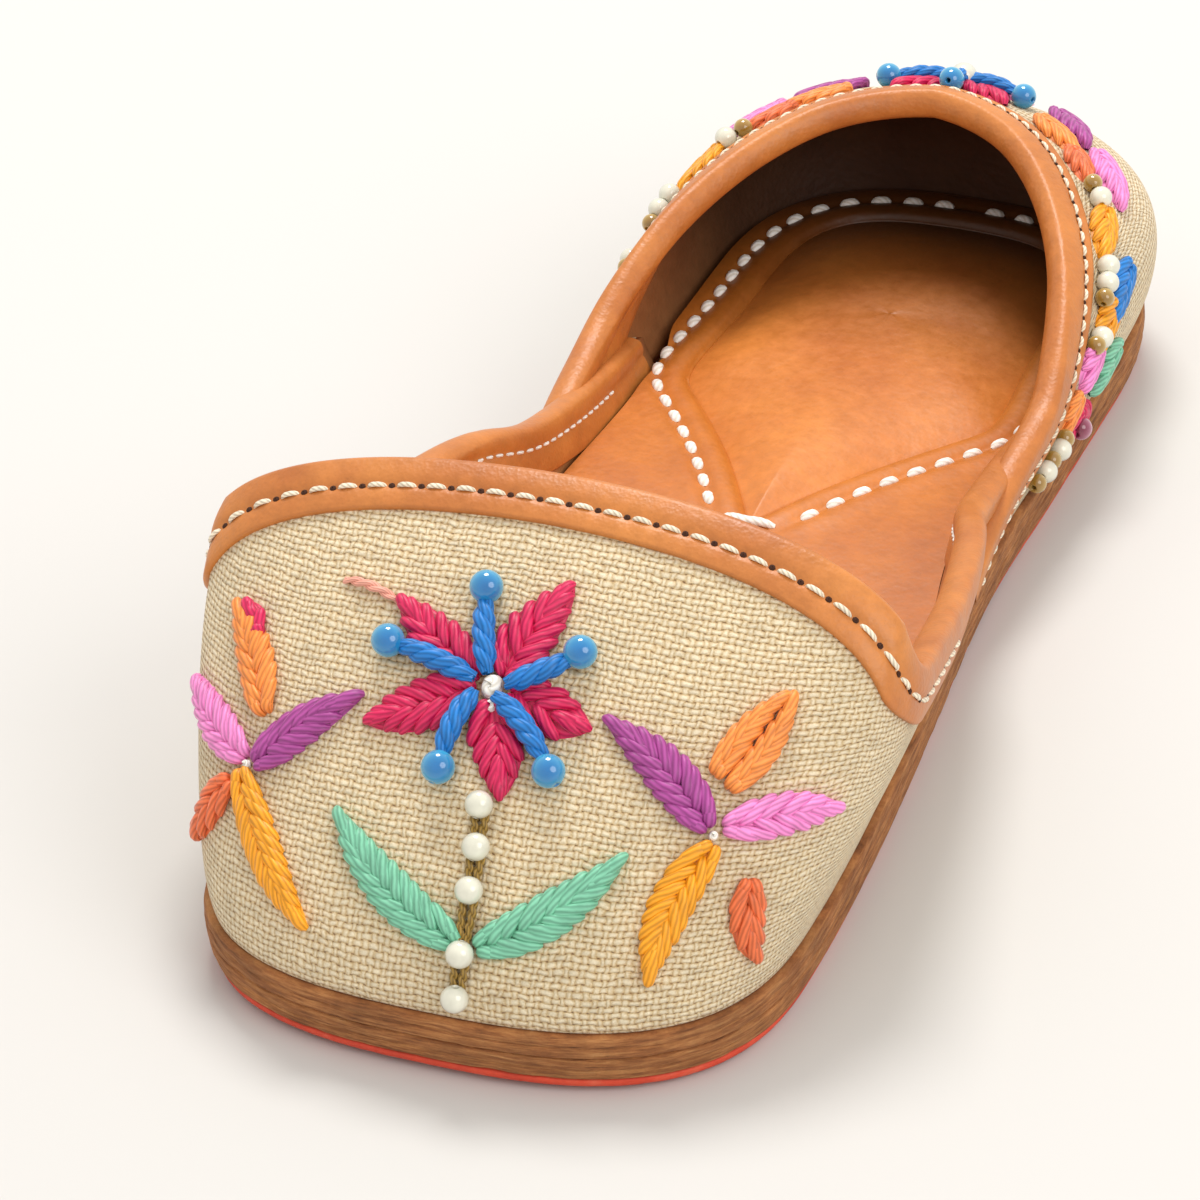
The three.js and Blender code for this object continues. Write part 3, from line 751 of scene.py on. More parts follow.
binding_leather = leather_material(
    "binding_leather",
    tint(208, 131, 62),
    tint(180, 103, 45),
    roughness=0.4,
    grain=0.5,
    depth=0.04,
)
lining_leather = leather_material(
    "lining_leather",
    tint(204, 134, 78),
    tint(172, 102, 54),
    roughness=0.55,
    grain=0.7,
    # painted shade, darker toward the heel
    painted_heel_shade=(24, 92, 0.13),
)
insole_leather = leather_material(
    "insole_leather",
    tint(206, 121, 40),
    tint(182, 99, 30),
    roughness=0.46,
    grain=0.8,
    depth=0.03,
    # painted shade, darker toward the heel
    painted_heel_shade=(45, 106, 0.16),
)
pad_leather = leather_material(
    "pad_leather",
    tint(214, 130, 56),
    tint(190, 106, 42),
    roughness=0.4,
    grain=0.75,
    depth=0.02,
    # painted shade, darker toward the heel
    painted_heel_shade=(58, 106, 0.1),
)


def stacked_material(name):
    """The cut edge of stacked sole leather: long fibres, thin layers and dark gaps."""
    material, tree, shader = new_material(name, tint(158, 106, 70), 0.82)
    long_way = place_in_shoe(tree, (0.16, 0.16, 2.2))
    fibres = cloud(tree, long_way, 1.1, 6.0, 0.7)
    where = place_in_shoe(tree)
    blotches = cloud(tree, where, 7.0, 5.0, 0.65)
    base = ramp(
        tree,
        fibres,
        (0.28, tint(104, 60, 30)),
        (0.46, tint(166, 104, 56)),
        (0.62, tint(198, 136, 80)),
        (0.8, tint(224, 174, 120)),
    )
    patch = grey(tree, blotches, (0.3, 0.72), (0.7, 1.16))
    tree.links.new(stir(tree, 1.0, base, patch, "MULTIPLY"), shader.inputs["Base Color"])
    crumbs = cloud(tree, where, 0.6, 5.0, 0.75)
    rough = press(tree, fibres, 0.5)
    tree.links.new(press(tree, crumbs, 0.25, rough), shader.inputs["Normal"])
    return material


def red_sole_material(name):
    material, tree, shader = new_material(name, tint(214, 70, 44), 0.6)
    where = place_in_shoe(tree)
    worn = cloud(tree, where, 9.0, 6.0, 0.7)
    base = ramp(tree, worn, (0.3, tint(196, 58, 36)), (0.55, tint(222, 76, 48)), (0.75, tint(228, 112, 82)))
    tree.links.new(base, shader.inputs["Base Color"])
    scuffs = cloud(tree, place_in_shoe(tree, (1.0, 0.15, 1.0)), 0.8, 5.0, 0.7)
    tree.links.new(grey(tree, scuffs, (0.3, 0.5), (0.7, 0.75)), shader.inputs["Roughness"])
    tree.links.new(press(tree, scuffs, 0.12), shader.inputs["Normal"])
    return material


stacked_leather = stacked_material("stacked_leather")
red_leather = red_sole_material("red_leather")
print("leathers:", len(bpy.data.materials))

# %% [markdown]
# Canvas
#
# The upper is coarse undyed jute canvas in plain weave, with about one thread in a millimetre. They could
# be real tubes, but a whole upper of them is millions of faces. Here the weave is a formula on the cloth's
# own flat coordinates: two sine waves say which thread lies on top at each crossing. Its height gives the
# bump, and also painted light and shade in the colour: dark in the gaps between threads and light on their
# tops. Noise makes each thread as uneven as jute is.

# %% Canvas material
thread_pitch = 1.05
row_pitch = 1.0


def canvas_material(name):
    material, tree, shader = new_material(name, tint(224, 204, 166), 0.92)
    cloth = place_on_cloth(tree)
    sway = cloud(tree, cloth, 7.0, 2.0)
    jitter = cloud(tree, cloth, 1.9, 2.0)
    drift = cloud(tree, place_on_cloth(tree, (1.0, 0.4)), 3.1, 2.0)
    parts = tree.nodes.new("ShaderNodeSeparateXYZ")
    tree.links.new(cloth, parts.inputs[0])
    across, along = parts.outputs[0], parts.outputs[1]
    across = calc(tree, "MULTIPLY_ADD", drift, 1.4, calc(tree, "MULTIPLY_ADD", jitter, 0.9, across))
    along = calc(tree, "MULTIPLY_ADD", sway, 1.5, calc(tree, "MULTIPLY_ADD", jitter, -0.6, along))
    sine_a = calc(tree, "SINE", calc(tree, "MULTIPLY", across, math.pi / thread_pitch))
    sine_b = calc(tree, "SINE", calc(tree, "MULTIPLY", along, math.pi / row_pitch))
    round_a = calc(tree, "POWER", calc(tree, "ABSOLUTE", sine_a), 0.8)
    round_b = calc(tree, "POWER", calc(tree, "ABSOLUTE", sine_b), 0.55)
    crossing = calc(tree, "MULTIPLY", sine_a, sine_b)
    warp = calc(tree, "MULTIPLY", round_a, calc(tree, "MULTIPLY_ADD", crossing, 0.36, 0.5))
    weft = calc(tree, "MULTIPLY", round_b, calc(tree, "MULTIPLY_ADD", crossing, -0.36, 0.64))
    height = calc(tree, "SMOOTH_MAX", warp, weft, 0.08)
    slubs = cloud(tree, place_on_cloth(tree, (0.3, 1.0)), 1.3, 3.0)
    hairs = cloud(tree, cloth, 0.3, 4.0, 0.75)
    thick = cloud(tree, place_on_cloth(tree, (0.5, 1.0)), 2.4, 2.0)
    raised = calc(tree, "MULTIPLY_ADD", slubs, 0.45, height)
    raised = calc(tree, "MULTIPLY_ADD", thick, 0.5, raised)
    raised = calc(tree, "MULTIPLY_ADD", hairs, 0.42, raised)
    shown = calc(tree, "MULTIPLY_ADD", calc(tree, "SUBTRACT", hairs, 0.5), 0.5, height)
    # Painted light and shade: the colour follows the weave's height, dark brown in the gaps between threads
    # and light cream on their tops.
    yarn_light_and_shade = ramp(
        tree,
        shown,
        (0.14, tint(112, 76, 38)),
        (0.3, tint(182, 148, 98)),
        (0.52, tint(217, 194, 152)),
        (0.85, tint(238, 224, 194)),
    )
    uneven = grey(tree, slubs, (0.25, 0.82), (0.5, 1.0), (0.75, 1.12))
    wide = grey(tree, cloud(tree, cloth, 24.0, 4.0), (0.3, 0.94), (0.7, 1.04))
    coloured = stir(tree, 1.0, stir(tree, 1.0, yarn_light_and_shade, uneven, "MULTIPLY"), wide, "MULTIPLY")
    fluff = grey(tree, hairs, (0.3, 0.86), (0.7, 1.1))
    tree.links.new(stir(tree, 1.0, coloured, fluff, "MULTIPLY"), shader.inputs["Base Color"])
    tree.links.new(press(tree, raised, 0.36), shader.inputs["Normal"])
    shader.inputs["Sheen Weight"].default_value = 0.2
    shader.inputs["Sheen Roughness"].default_value = 0.6
    return material


jute_canvas = canvas_material("jute_canvas")
print("canvas: one thread in", thread_pitch, "mm, one row in", row_pitch, "mm")

# %% [markdown]
# The upper
#
# The vamp and the quarter are two pieces of canvas with leather glued behind them. Each becomes a thin
# shell that is closed all round, one for the canvas and one for the lining, so a look into the collar
# meets real walls. The flat coordinates of the cloth are the distances walked along each row and up each
# column. Where an edge turns down to the sole, the cloth ends a hem's width short of it, inside the binding.

# %% Lay canvas and lining over the last
canvas_thickness = 1.0
lining_gap = 0.05
cloth_evenness = 0.45
hem = 0.09
vamp_turn = 1.15
quarter_turn = 0.42
turn_span = 0.15


def cloth_map(points):
    """Flat coordinates of a grid of points: along the rows from the middle, and up the columns."""
    middle = points.shape[0] // 2
    across = np.linalg.norm(np.diff(points, axis=0), axis=-1)
    u = np.concatenate([np.zeros((1, points.shape[1])), np.cumsum(across, axis=0)])
    u = u - u[middle]
    upward = np.linalg.norm(np.diff(points, axis=1), axis=-1)
    v = np.concatenate([np.zeros((points.shape[0], 1)), np.cumsum(upward, axis=1)], axis=1)
    lengths = v[:, -1:]
    even = (lengths[middle] / np.maximum(lengths, 1)) ** cloth_evenness
    return np.stack([u, v * even], -1)


def past_turn(face, places):
    """0 where a face's top edge is level, and 1 past the turn where it runs down toward the sole."""
    turn_start = vamp_turn if face is vamp_point else quarter_turn
    return ease(np.abs(places), turn_start, turn_start + turn_span)


def shell_mesh(name, face, places, rows, outer, inner):
    """A closed thin shell on a face, between two distances from it, that is a hem short past the turn."""
    u, up = np.meshgrid(places, np.linspace(0, 1, rows), indexing="ij")
    up = up * (1 - hem * past_turn(face, u))
    points = face(u, up)
    normal = face_normal(face, u, np.clip(up, 0.001, 0.999))
    outside = points + normal * outer
    inside = points + normal * inner
    outside[:, 0, 2] = points[:, 0, 2]
    inside[:, 0, 2] = points[:, 0, 2]
    flat = cloth_map(points)
    rings = np.concatenate([outside, inside[:, ::-1]], axis=1)
    uv = np.concatenate([flat, flat[:, ::-1]], axis=1)
    columns, ring = rings.shape[:2]
    faces = np.concatenate(
        [
            ring_faces(columns, ring),
            end_faces(0, ring),
            end_faces((columns - 1) * ring, ring),
        ]
    )
    mesh = make_mesh(name, rings, faces, uv)
    outward_faces(mesh)
    return mesh


def vamp_columns(count):
    """Places of the vamp's columns, closer together at the throat's corners."""
    half = np.concatenate(
        [
            np.linspace(0, 1 - arch_span, count)[:-1],
            np.linspace(1 - arch_span, 1 + wing_span, count // 3)[:-1],
            np.linspace(1 + wing_span, 2, count),
        ]
    )
    return np.concatenate([-half[:0:-1], half])


vamp_places = vamp_columns(70)
quarter_places = np.linspace(-1, 1, 241)
lining_outer = -canvas_thickness - lining_gap
vamp_canvas = add_piece(
    "vamp_canvas",
    shell_mesh("vamp_canvas", vamp_point, vamp_places, 60, 0.0, -canvas_thickness),
    jute_canvas,
    ["upper"],
)
add_piece(
    "vamp_lining",
    shell_mesh("vamp_lining", vamp_point, vamp_places, 40, lining_outer, -wall),
    lining_leather,
)
add_piece(
    "quarter_canvas",
    shell_mesh("quarter_canvas", quarter_point, quarter_places, 40, 0.0, -canvas_thickness),
    jute_canvas,
)
add_piece(
    "quarter_lining",
    shell_mesh("quarter_lining", quarter_point, quarter_places, 30, lining_outer, -wall),
    lining_leather,
)
print("vamp canvas", len(vamp_canvas.data.polygons), "faces")

# %% [markdown]
# The sole
#
# Under the canvas lies a stack of sole leather that was cut with a knife and rasped: two thick layers and
# the gap between them, over one thin layer stained red. Each layer is a band that is carried round the
# outline. Its section is a short table: how far in it lies, and how high. Noise roughens the cut edge,
# stretched along the shoe, as the fibres of leather lie in sheets.

# %% Build the sole
outline_stations = 420
cap_inset = 6
sole_bottom = outsole_thickness + clearance
sole_seam = sole_bottom + lower_stack_thickness
sole_top = sole_bottom + midsole_thickness


def sole_loop(inset, height):
    """The outline moved in by an inset, as a closed loop at a height over the shoe's ground line."""
    share = (np.arange(outline_stations) + 0.5) / outline_stations
    x, s, nx, ns = place_on(outline, share * half_girth)
    x, s = x - nx * inset, s - ns * inset
    right_side = in_frame(x, s, ground_lift(s) + height)
    left_side = right_side[::-1] * np.array([-1, 1, 1])
    return np.concatenate([right_side, left_side])


def sole_layer(name, section, roughen):
    """A solid layer from a section of insets and heights: its side, then its flat top and bottom."""
    (first_inset, low), (last_inset, high) = section[0], section[-1]
    side = [sole_loop(inset, height) for inset, height in section]
    bottom = sole_loop(first_inset + cap_inset, low)
    top = sole_loop(last_inset + cap_inset, high)
    grid = np.stack([bottom, *side, top])
    lying = grid[1:-1] * np.array([0.35, 0.35, 1.6])
    grain = smooth_noise(lying, 1.6, 3.0) + 0.5 * smooth_noise(lying, 0.7, 9.0)
    away = grid[1:-1] * np.array([1, 1, 0])
    away /= np.linalg.norm(away, axis=-1, keepdims=True)
    grid[1:-1] -= away * (np.clip(grain, 0, 1) * roughen)[..., None]
    rows, count = grid.shape[:2]
    caps = [end_faces(start, count) for start in (0, (rows - 1) * count)]
    mesh = make_mesh(name, grid, np.concatenate([ring_faces(rows, count), *caps]))
    outward_faces(mesh)
    return mesh


stack_section = [
    (1.0, sole_bottom),
    (0.75, sole_bottom + 0.2),
    (0.5, sole_bottom + 0.9),
    (0.42, sole_bottom + 1.6),
    (0.5, sole_bottom + 1.75),
    (0.3, sole_bottom + 1.95),
    (0.15, sole_bottom + 2.7),
    (0.15, sole_seam - 0.4),
    (0.35, sole_seam - 0.12),
    (stack_step + 0.5, sole_seam),
    (0.25, sole_seam + 0.15),
    (0.0, sole_seam + 0.45),
    (-0.05, sole_seam + 1.2),
    (0.05, sole_seam + 1.75),
    (0.16, sole_seam + 1.85),
    (0.0, sole_seam + 2.0),
    (0.0, sole_top - 0.5),
    (0.15, sole_top - 0.2),
    (0.45, sole_top),
    (1.2, sole_top + 0.05),
    (2.6, sole_top),
]
add_piece(
    "stacked_sole", sole_layer("stacked_sole", stack_section, 0.35), stacked_leather, ["midsole"]
)
red_section = [(2.2, 0.0), (1.7, 0.05), (1.4, 0.35), (1.15, 1.0), (1.25, outsole_thickness)]
add_piece("red_sole", sole_layer("red_sole", red_section, 0.12), red_leather, ["outsole"])
print("sole", round(sole_top, 1), "mm thick")

# %% [markdown]
# Bindings
#
# A strip of tan leather is folded over each raw edge and sewn through, 4 mm from the edge. The thread
# pulls the leather in, so a soft roll stands above the seam and a flat skirt with a cut edge lies below
# it. The section is a short table of depths below the edge and distances out from the canvas. It is
# carried along the edge like a curtain rail's profile, and each stitch dents it a little. Past its corners
# the edge turns more sharply than leather can, so there the strip settles into one smooth line.

# %% Roll the bindings
stitch_depth = 3.9
stitch_pitch = 4.2
inner_stitch_depth = 2.5
roll_out = 1.35
roll_in = -3.3
binding_spacing = 0.8
stitch_dent = 0.12
dent_reach = 0.7


def below_top(face, u, depth, out):
    """Points at depths below the top edge, square to it, and at distances out from the face."""
    step = 0.002
    edge_line = face(u + step, 1.0) - face(u - step, 1.0)
    edge_line /= np.linalg.norm(edge_line, axis=-1, keepdims=True)
    top_line = face(u, 1.0) - face(u, 1 - step)
    top_line /= np.linalg.norm(top_line, axis=-1, keepdims=True)
    square = np.maximum(0.6, np.linalg.norm(np.cross(edge_line, top_line), axis=-1))
    wanted = depth / square[:, None]
    lower = 1 - np.linspace(0, 0.98, 40)
    column = face(u[:, None], lower[None, :])
    walked = np.concatenate(
        [np.zeros((len(u), 1)), np.cumsum(np.linalg.norm(np.diff(column, axis=1), axis=-1), axis=1)], axis=1
    )
    up = np.array([np.interp(wanted[i], walked[i], lower) for i in range(len(u))])
    spread = np.broadcast_to(u[:, None], up.shape)
    below = face(spread, up)
    above = face(u, 1.0)[:, None] - top_line[:, None] * wanted[..., None]
    points = np.where((wanted > 0)[..., None], below, above)
    normal = face_normal(face, spread, np.clip(up, 0.001, 0.999))
    return points + normal * np.broadcast_to(out, wanted.shape)[..., None]


def even_places(face, low, high, spacing):
    """Places whose points on the top edge lie an even distance apart, and the distance walked to each."""
    fine = np.linspace(low, high, 3000)
    edge = face(fine, 1.0)
    walked = np.concatenate([[0], np.cumsum(np.linalg.norm(np.diff(edge, axis=0), axis=-1))])
    count = int(walked[-1] / spacing) + 1
    wanted = np.linspace(0, walked[-1], count)
    return np.interp(wanted, walked, fine), wanted


skirt_section = [
    (0.0, 0.02),
    (-0.05, 0.45),
    (0.05, 0.8),
    (0.35, 0.95),
]
binding_section = [
    (4.95, 0.99),
    (4.7, 0.96),
    (4.3, 0.85),
    (3.9, 0.68),
    (3.55, 0.85),
    (3.1, 1.1),
    (2.5, 1.28),
    (1.7, 1.34),
    (0.9, roll_out),
    (0.2, roll_out),
]
over_edge = [
    (-roll_out * math.sin(angle), mix(roll_out, roll_in, (1 - math.cos(angle)) / 2))
    for angle in np.linspace(0.15, math.pi - 0.15, 9)
]
inside_section = [
    (0.4, roll_in),
    (1.2, roll_in + 0.05),
    (1.9, roll_in + 0.25),
    (2.5, -2.8),
    (3.0, -2.95),
    (3.9, -3.03),
    (5.4, -3.05),
    (6.6, -3.0),
]
inside_end = [(6.85, -2.8), (6.8, -2.05)]


settle_reach = 4.4
settled_from_end = 14


def settle(points, walked, share):
    """Evens points out along a seam, as leather does where it is pulled round a sharp turn."""
    step = walked[1]
    count = int(3 * settle_reach / step)
    weights = np.exp(-0.5 * (np.arange(-count, count + 1) * step / settle_reach) ** 2)
    weights /= weights.sum()
    padded = np.concatenate([np.repeat(points[:1], count, 0), points, np.repeat(points[-1:], count, 0)])
    smooth = sum(weight * padded[i : i + len(points)] for i, weight in enumerate(weights))
    return mix(points, smooth, share.reshape(-1, *[1] * (points.ndim - 1)))


def settled_share(face, places, walked):
    """How far each place settles: past the turns of the edge, and not at the ends of the binding."""
    ends = ease(walked, 0, settled_from_end) * ease(walked[-1] - walked, 0, settled_from_end)
    return past_turn(face, places) * ends


def binding_mesh(name, face, low, high, width, outer_room):
    """A folded binding. The room says what share of its thickness is free outside."""
    places, walked = even_places(face, low, high, binding_spacing)
    skirt = [(width - rise, out) for rise, out in skirt_section]
    section = np.array([*skirt, *binding_section, *over_edge, *inside_section, *inside_end])
    depth = np.broadcast_to(section[:, 0], (len(places), len(section))).copy()
    out = np.broadcast_to(section[:, 1], depth.shape).copy()
    dent = stitch_dent * np.cos(2 * math.pi * walked / stitch_pitch)[:, None]
    near_seam = np.exp(-(((section[:, 0] - stitch_depth) / dent_reach) ** 2)) * (section[:, 1] > 0)
    out += dent * near_seam
    out = np.where(out > 0, out * outer_room(places)[:, None], out)
    rings = settle(below_top(face, places, depth, out), walked, settled_share(face, places, walked))
    around = np.concatenate([[0], np.cumsum(np.hypot(np.diff(section[:, 0]), np.diff(section[:, 1])))])
    uv = np.stack(np.meshgrid(walked, around, indexing="ij"), -1)
    faces = ring_faces(*rings.shape[:2])
    mesh = make_mesh(name, rings, faces, uv)
    outward_faces(mesh)
    return mesh


def throat_room(places):
    """The wing's binding is pressed a little flatter outside, where the quarter covers it."""
    edge = face_heights(vamp_point, places)
    setback = edge[:, 1] + sole_length / 2
    return 1 - 0.4 * ease(quarter_height_at(setback) - edge[:, 2], -2.0, 14.0)


def face_heights(face, places):
    return face(places, np.ones_like(places))


def quarter_height_at(setback):
    """The height of the quarter's top edge at a setback."""
    share = np.linspace(0, 1, 200)
    edge = quarter_point(1 - share, np.ones_like(share))
    return np.interp(setback, edge[:, 1] + sole_length / 2, edge[:, 2], left=0)


def all_free(places):
    return np.ones_like(places)


throat_binding = add_piece(
    "throat_roll",
    binding_mesh("throat_roll", vamp_point, -1.97, 1.97, throat_binding_width, throat_room),
    binding_leather,
    ["throat_binding"],
)
collar_binding = add_piece(
    "collar_roll",
    binding_mesh("collar_roll", quarter_point, -1.0, 1.0, collar_binding_width, all_free),
    binding_leather,
    ["collar_binding"],
)
print("bindings", len(throat_binding.data.polygons), "and", len(collar_binding.data.polygons), "faces")

# %% [markdown]
# Insole, sock cover and padded heel
#
# A leather cover lies on the insole, with a pointed opening over a padded heel. The strip on each side of
# the opening is sewn down. The cover is a ruled surface: each station on the outer outline is joined to a
# point on the opening's edge, or to the middle line in front of it, and the height between them makes the
# soft turned edge and the furrow of the seam. Only the right half is worked out, and mirrored.

# %% Lay the cover
insole_bottom = sole_stack + clearance
insole_top = insole_bottom + insole_thickness
cover_bottom = insole_top + clearance
cover_top = cover_bottom + cover_thickness
cover_tuck = 1.5
cover_tuck_start = 52
cover_tuck_end = 128
cover_tuck_ramp = 18
opening_hollow = 1.6
opening_turn = 2 / 7
turned_edge = 1.1
weld_distance = 0.02


def inside_inset(setback):
    """The inset from the outline that clears the inside of the upper."""
    doubled = ease(setback, quarter_front - tuck_length - 5, quarter_front - 10) * ease(
        setback, wing_end_setback + 10, wing_end_setback
    )
    return sole_edge + wall + clearance + 0.2 + doubled * (wall - seam_overlap)


def opening_edge(count):
    """The right half of the opening's edge: from its point in front to the heel's middle."""
    straight = np.linspace(0, 1, count // 2)
    line_x = opening_width / 2 * straight - opening_hollow * np.sin(math.pi * straight)
    line_s = mix(opening_point, opening_corner, straight)
    turn = np.linspace(0, 1, count - count // 2 + 1)[1:]
    x, s, nx, ns = place_on(outline, mix(distance_at(opening_corner), half_girth, turn))
    start_margin = float(side_half_width(opening_corner)) - opening_width / 2
    margin = mix(start_margin, opening_margin, ease(turn, 0, opening_turn))
    x, s = x - nx * margin, s - ns * margin
    x[-1] = 0
    return np.concatenate([line_x, x]), np.concatenate([line_s, s])


def soft_corners(x, s, passes):
    """Rounds the corners of a line a little, with its ends kept."""
    for _ in range(passes):
        x[1:-1] = (x[:-2] + 2 * x[1:-1] + x[2:]) / 4
        s[1:-1] = (s[:-2] + 2 * s[1:-1] + s[2:]) / 4
    return x, s


def even_line(x, s, count):
    """The same line with its points an even distance apart."""
    walked = np.concatenate([[0], np.cumsum(np.hypot(np.diff(x), np.diff(s)))])
    wanted = np.linspace(0, walked[-1], count)
    return np.interp(wanted, walked, x), np.interp(wanted, walked, s)


opening_x, opening_s = even_line(*soft_corners(*opening_edge(120), 14), 240)
seam_margin = 5.2


def both_halves(name, grid):
    """A grid of the right half and its mirror image, welded into one mesh and open for more work."""
    mirrored = grid * np.array([-1, 1, 1])
    faces = ring_faces(*grid.shape[:2], closed_ring=False)
    count = grid.shape[0] * grid.shape[1]
    points = np.concatenate([mirrored.reshape(-1, 3), grid.reshape(-1, 3)])
    mesh = make_mesh(name, points, np.concatenate([faces, faces[:, ::-1] + count]))
    work = bmesh.new()
    work.from_mesh(mesh)
    bmesh.ops.remove_doubles(work, verts=work.verts, dist=weld_distance * MM)
    bmesh.ops.recalc_face_normals(work, faces=work.faces)
    return mesh, work


def close_work(mesh, work):
    """Puts the work back into its mesh, which is smooth all over."""
    work.to_mesh(mesh)
    work.free()
    mesh.polygons.foreach_set("use_smooth", np.ones(len(mesh.polygons), bool))
    return mesh


def distance_to_opening(flat):
    """How far places on the cover lie from the opening's edge, in plan."""
    edge = np.stack([opening_x, opening_s], -1)
    gap = np.linalg.norm(flat[..., None, :] - edge, axis=-1)
    return gap.min(axis=-1)


def ridge(value, middle, width):
    return np.exp(-(((value - middle) / width) ** 2))


def cover_surface(flat, to_edge):
    """The height of the cover: a soft ridge on each side of the seam's furrow, and a turned edge."""
    behind = ease(flat[..., 1], opening_point - 4, opening_point + 4)
    sewn = behind * (0.45 * ridge(to_edge, 2.6, 1.6) - 0.4 * ridge(to_edge, seam_margin, 0.8))
    beyond = behind * 0.3 * ridge(to_edge, seam_margin + 2.4, 1.8)
    turned = 0.9 * ridge(to_edge, 0.0, 0.7)
    return cover_top + ground_lift(flat[..., 1]) + 0.3 + sewn + beyond - turned


def cover_mesh(name):
    """The cover: ruled from its outer outline to the opening, with a turned edge."""
    front_count, rows = 120, 34
    front_outer = distance_at(opening_point)
    front_distance = np.linspace(0, front_outer, front_count)
    back_distance = np.linspace(front_outer, half_girth, len(opening_x) + 1)[1:]
    distance = np.concatenate([front_distance, back_distance])
    x, s, nx, ns = place_on(outline, distance)
    inset = inside_inset(s) + toe_room * ease(s, toe_curve_length, 0)
    tucked = ease(s, cover_tuck_start, cover_tuck_start + cover_tuck_ramp)
    tucked = tucked * ease(s, cover_tuck_end, cover_tuck_end - cover_tuck_ramp)
    inset = inset - cover_tuck * tucked
    outer = np.stack([x - nx * inset, s - ns * inset], -1)
    outer[0, 0] = outer[-1, 0] = 0
    front_line = np.linspace(outer[0, 1], opening_point, front_count)
    inner_x = np.concatenate([np.zeros(front_count), opening_x])
    inner_s = np.concatenate([front_line, opening_s])
    inner = np.stack([inner_x, inner_s], -1)
    share = np.linspace(0, 1, rows) ** 0.8
    flat = outer[:, None] * (1 - share[None, :, None]) + inner[:, None] * share[None, :, None]
    height = cover_surface(flat, distance_to_opening(flat))
    top = in_frame(flat[..., 0], flat[..., 1], height)
    low_edge = top[:, -1:].copy()
    low_edge[..., 2] -= turned_edge
    mesh, work = both_halves(name, np.concatenate([top, low_edge], axis=1))
    if sum(face.normal.z for face in work.faces) < 0:
        bmesh.ops.reverse_faces(work, faces=work.faces)
    return close_work(mesh, work)


add_piece("sewn_cover", cover_mesh("sewn_cover"), insole_leather, ["sock_cover"])

pad_centre = 0.58
pad_tuck = 1.0
pad_rim = 7.0
smoothing_passes = 60


def pad_mesh(name):
    """The padded heel: a dome that is tucked under the turned edge of the opening."""
    edge = np.stack([opening_x, opening_s], -1)
    centre = np.array([0.0, mix(opening_point, sole_length, pad_centre)])
    out = edge - centre
    out /= np.linalg.norm(out, axis=-1, keepdims=True)
    rim = edge + out * pad_tuck
    rim[0, 0] = rim[-1, 0] = 0
    rows = 40
    share = np.linspace(0, 1, rows)
    flat = rim[:, None] * (1 - share[None, :, None]) + centre * share[None, :, None]
    inside = np.linalg.norm(flat - rim[:, None], axis=-1)
    rise = 1 - np.exp(-inside / pad_rim)
    height = cover_bottom + 0.1 + pad_height * rise + ground_lift(flat[..., 1])
    top = in_frame(flat[..., 0], flat[..., 1], height)
    base = top.copy()
    base[..., 2] = cover_bottom + ground_lift(flat[..., 1])
    mesh, work = both_halves(name, np.concatenate([top[:, ::-1], base], axis=1))
    above_rim = (cover_bottom + 0.25 * pad_height) * MM
    padding = [vert for vert in work.verts if vert.co.z > above_rim]
    for _ in range(smoothing_passes):
        bmesh.ops.smooth_vert(work, verts=padding, factor=0.5, use_axis_z=True)
    return close_work(mesh, work)


heel_pad = add_piece("padded_heel", pad_mesh("padded_heel"), pad_leather, ["heel_pad"])

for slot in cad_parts["insole"].material_slots:
    slot.material = lining_leather
print("pad rises", pad_height, "mm in its middle")

# %% [markdown]
# Thread
#
# All sewing and embroidery on the shoe is thread: waxed cream thread in the bindings, thick white thread in
# the insole, soft stranded floss in the flowers. A thread could be a Blender curve with a bevel. Here all
# threads of one colour are swept together with arrays, as round tubes that can be flattened and tapered,
# so that hundreds of them make one light mesh. The plies that are twisted into a thread are bump, with
# shade painted into their grooves and a highlight painted on their backs.

# %% Sweep threads and wind their material
tube_sides = 9


def unit(vectors):
    return vectors / np.maximum(np.linalg.norm(vectors, axis=-1, keepdims=True), 1e-9)


def tube_parts(paths, normals, radii, sides=tube_sides, squash=0.8):
    """Points, faces and flat coordinates of threads: paths and normals (k, n, 3), radii (k, n)."""
    tangent = unit(np.gradient(paths, axis=1))
    side = unit(np.cross(tangent, normals))
    rise = unit(np.cross(side, tangent))
    angle = np.linspace(-math.pi / 2, 1.5 * math.pi, sides)
    ring = (
        paths[:, :, None]
        + (radii[..., None] * np.cos(angle))[..., None] * side[:, :, None]
        + (radii[..., None] * np.sin(angle) * squash)[..., None] * rise[:, :, None]
    )
    count, length = ring.shape[:2]
    one = ring_faces(length, sides, closed_ring=False)
    start = np.arange(count) * length * sides
    faces = (one[None] + start[:, None, None]).reshape(-1, 4)
    step = np.linalg.norm(np.diff(paths, axis=1), axis=-1)
    along = np.concatenate([np.zeros((count, 1)), np.cumsum(step, axis=1)], axis=1)
    around = np.broadcast_to(np.linspace(0, 1, sides), (count, length, sides))
    uv = np.stack([around, np.broadcast_to(along[..., None], around.shape)], -1)
    return ring.reshape(-1, 3), faces, uv.reshape(-1, 2)


def join_parts(parts):
    """Several sets of points, faces and flat coordinates as one."""
    shift = np.cumsum([0] + [len(points) for points, _, _ in parts])
    points = np.concatenate([part[0] for part in parts])
    faces = np.concatenate([part[1] + start for part, start in zip(parts, shift)])
    return points, faces, np.concatenate([part[2] for part in parts])


def thread_piece(name, parts, material):
    points, faces, uv = join_parts(parts)
    return add_piece(name, make_mesh(name, points, faces, uv), material)


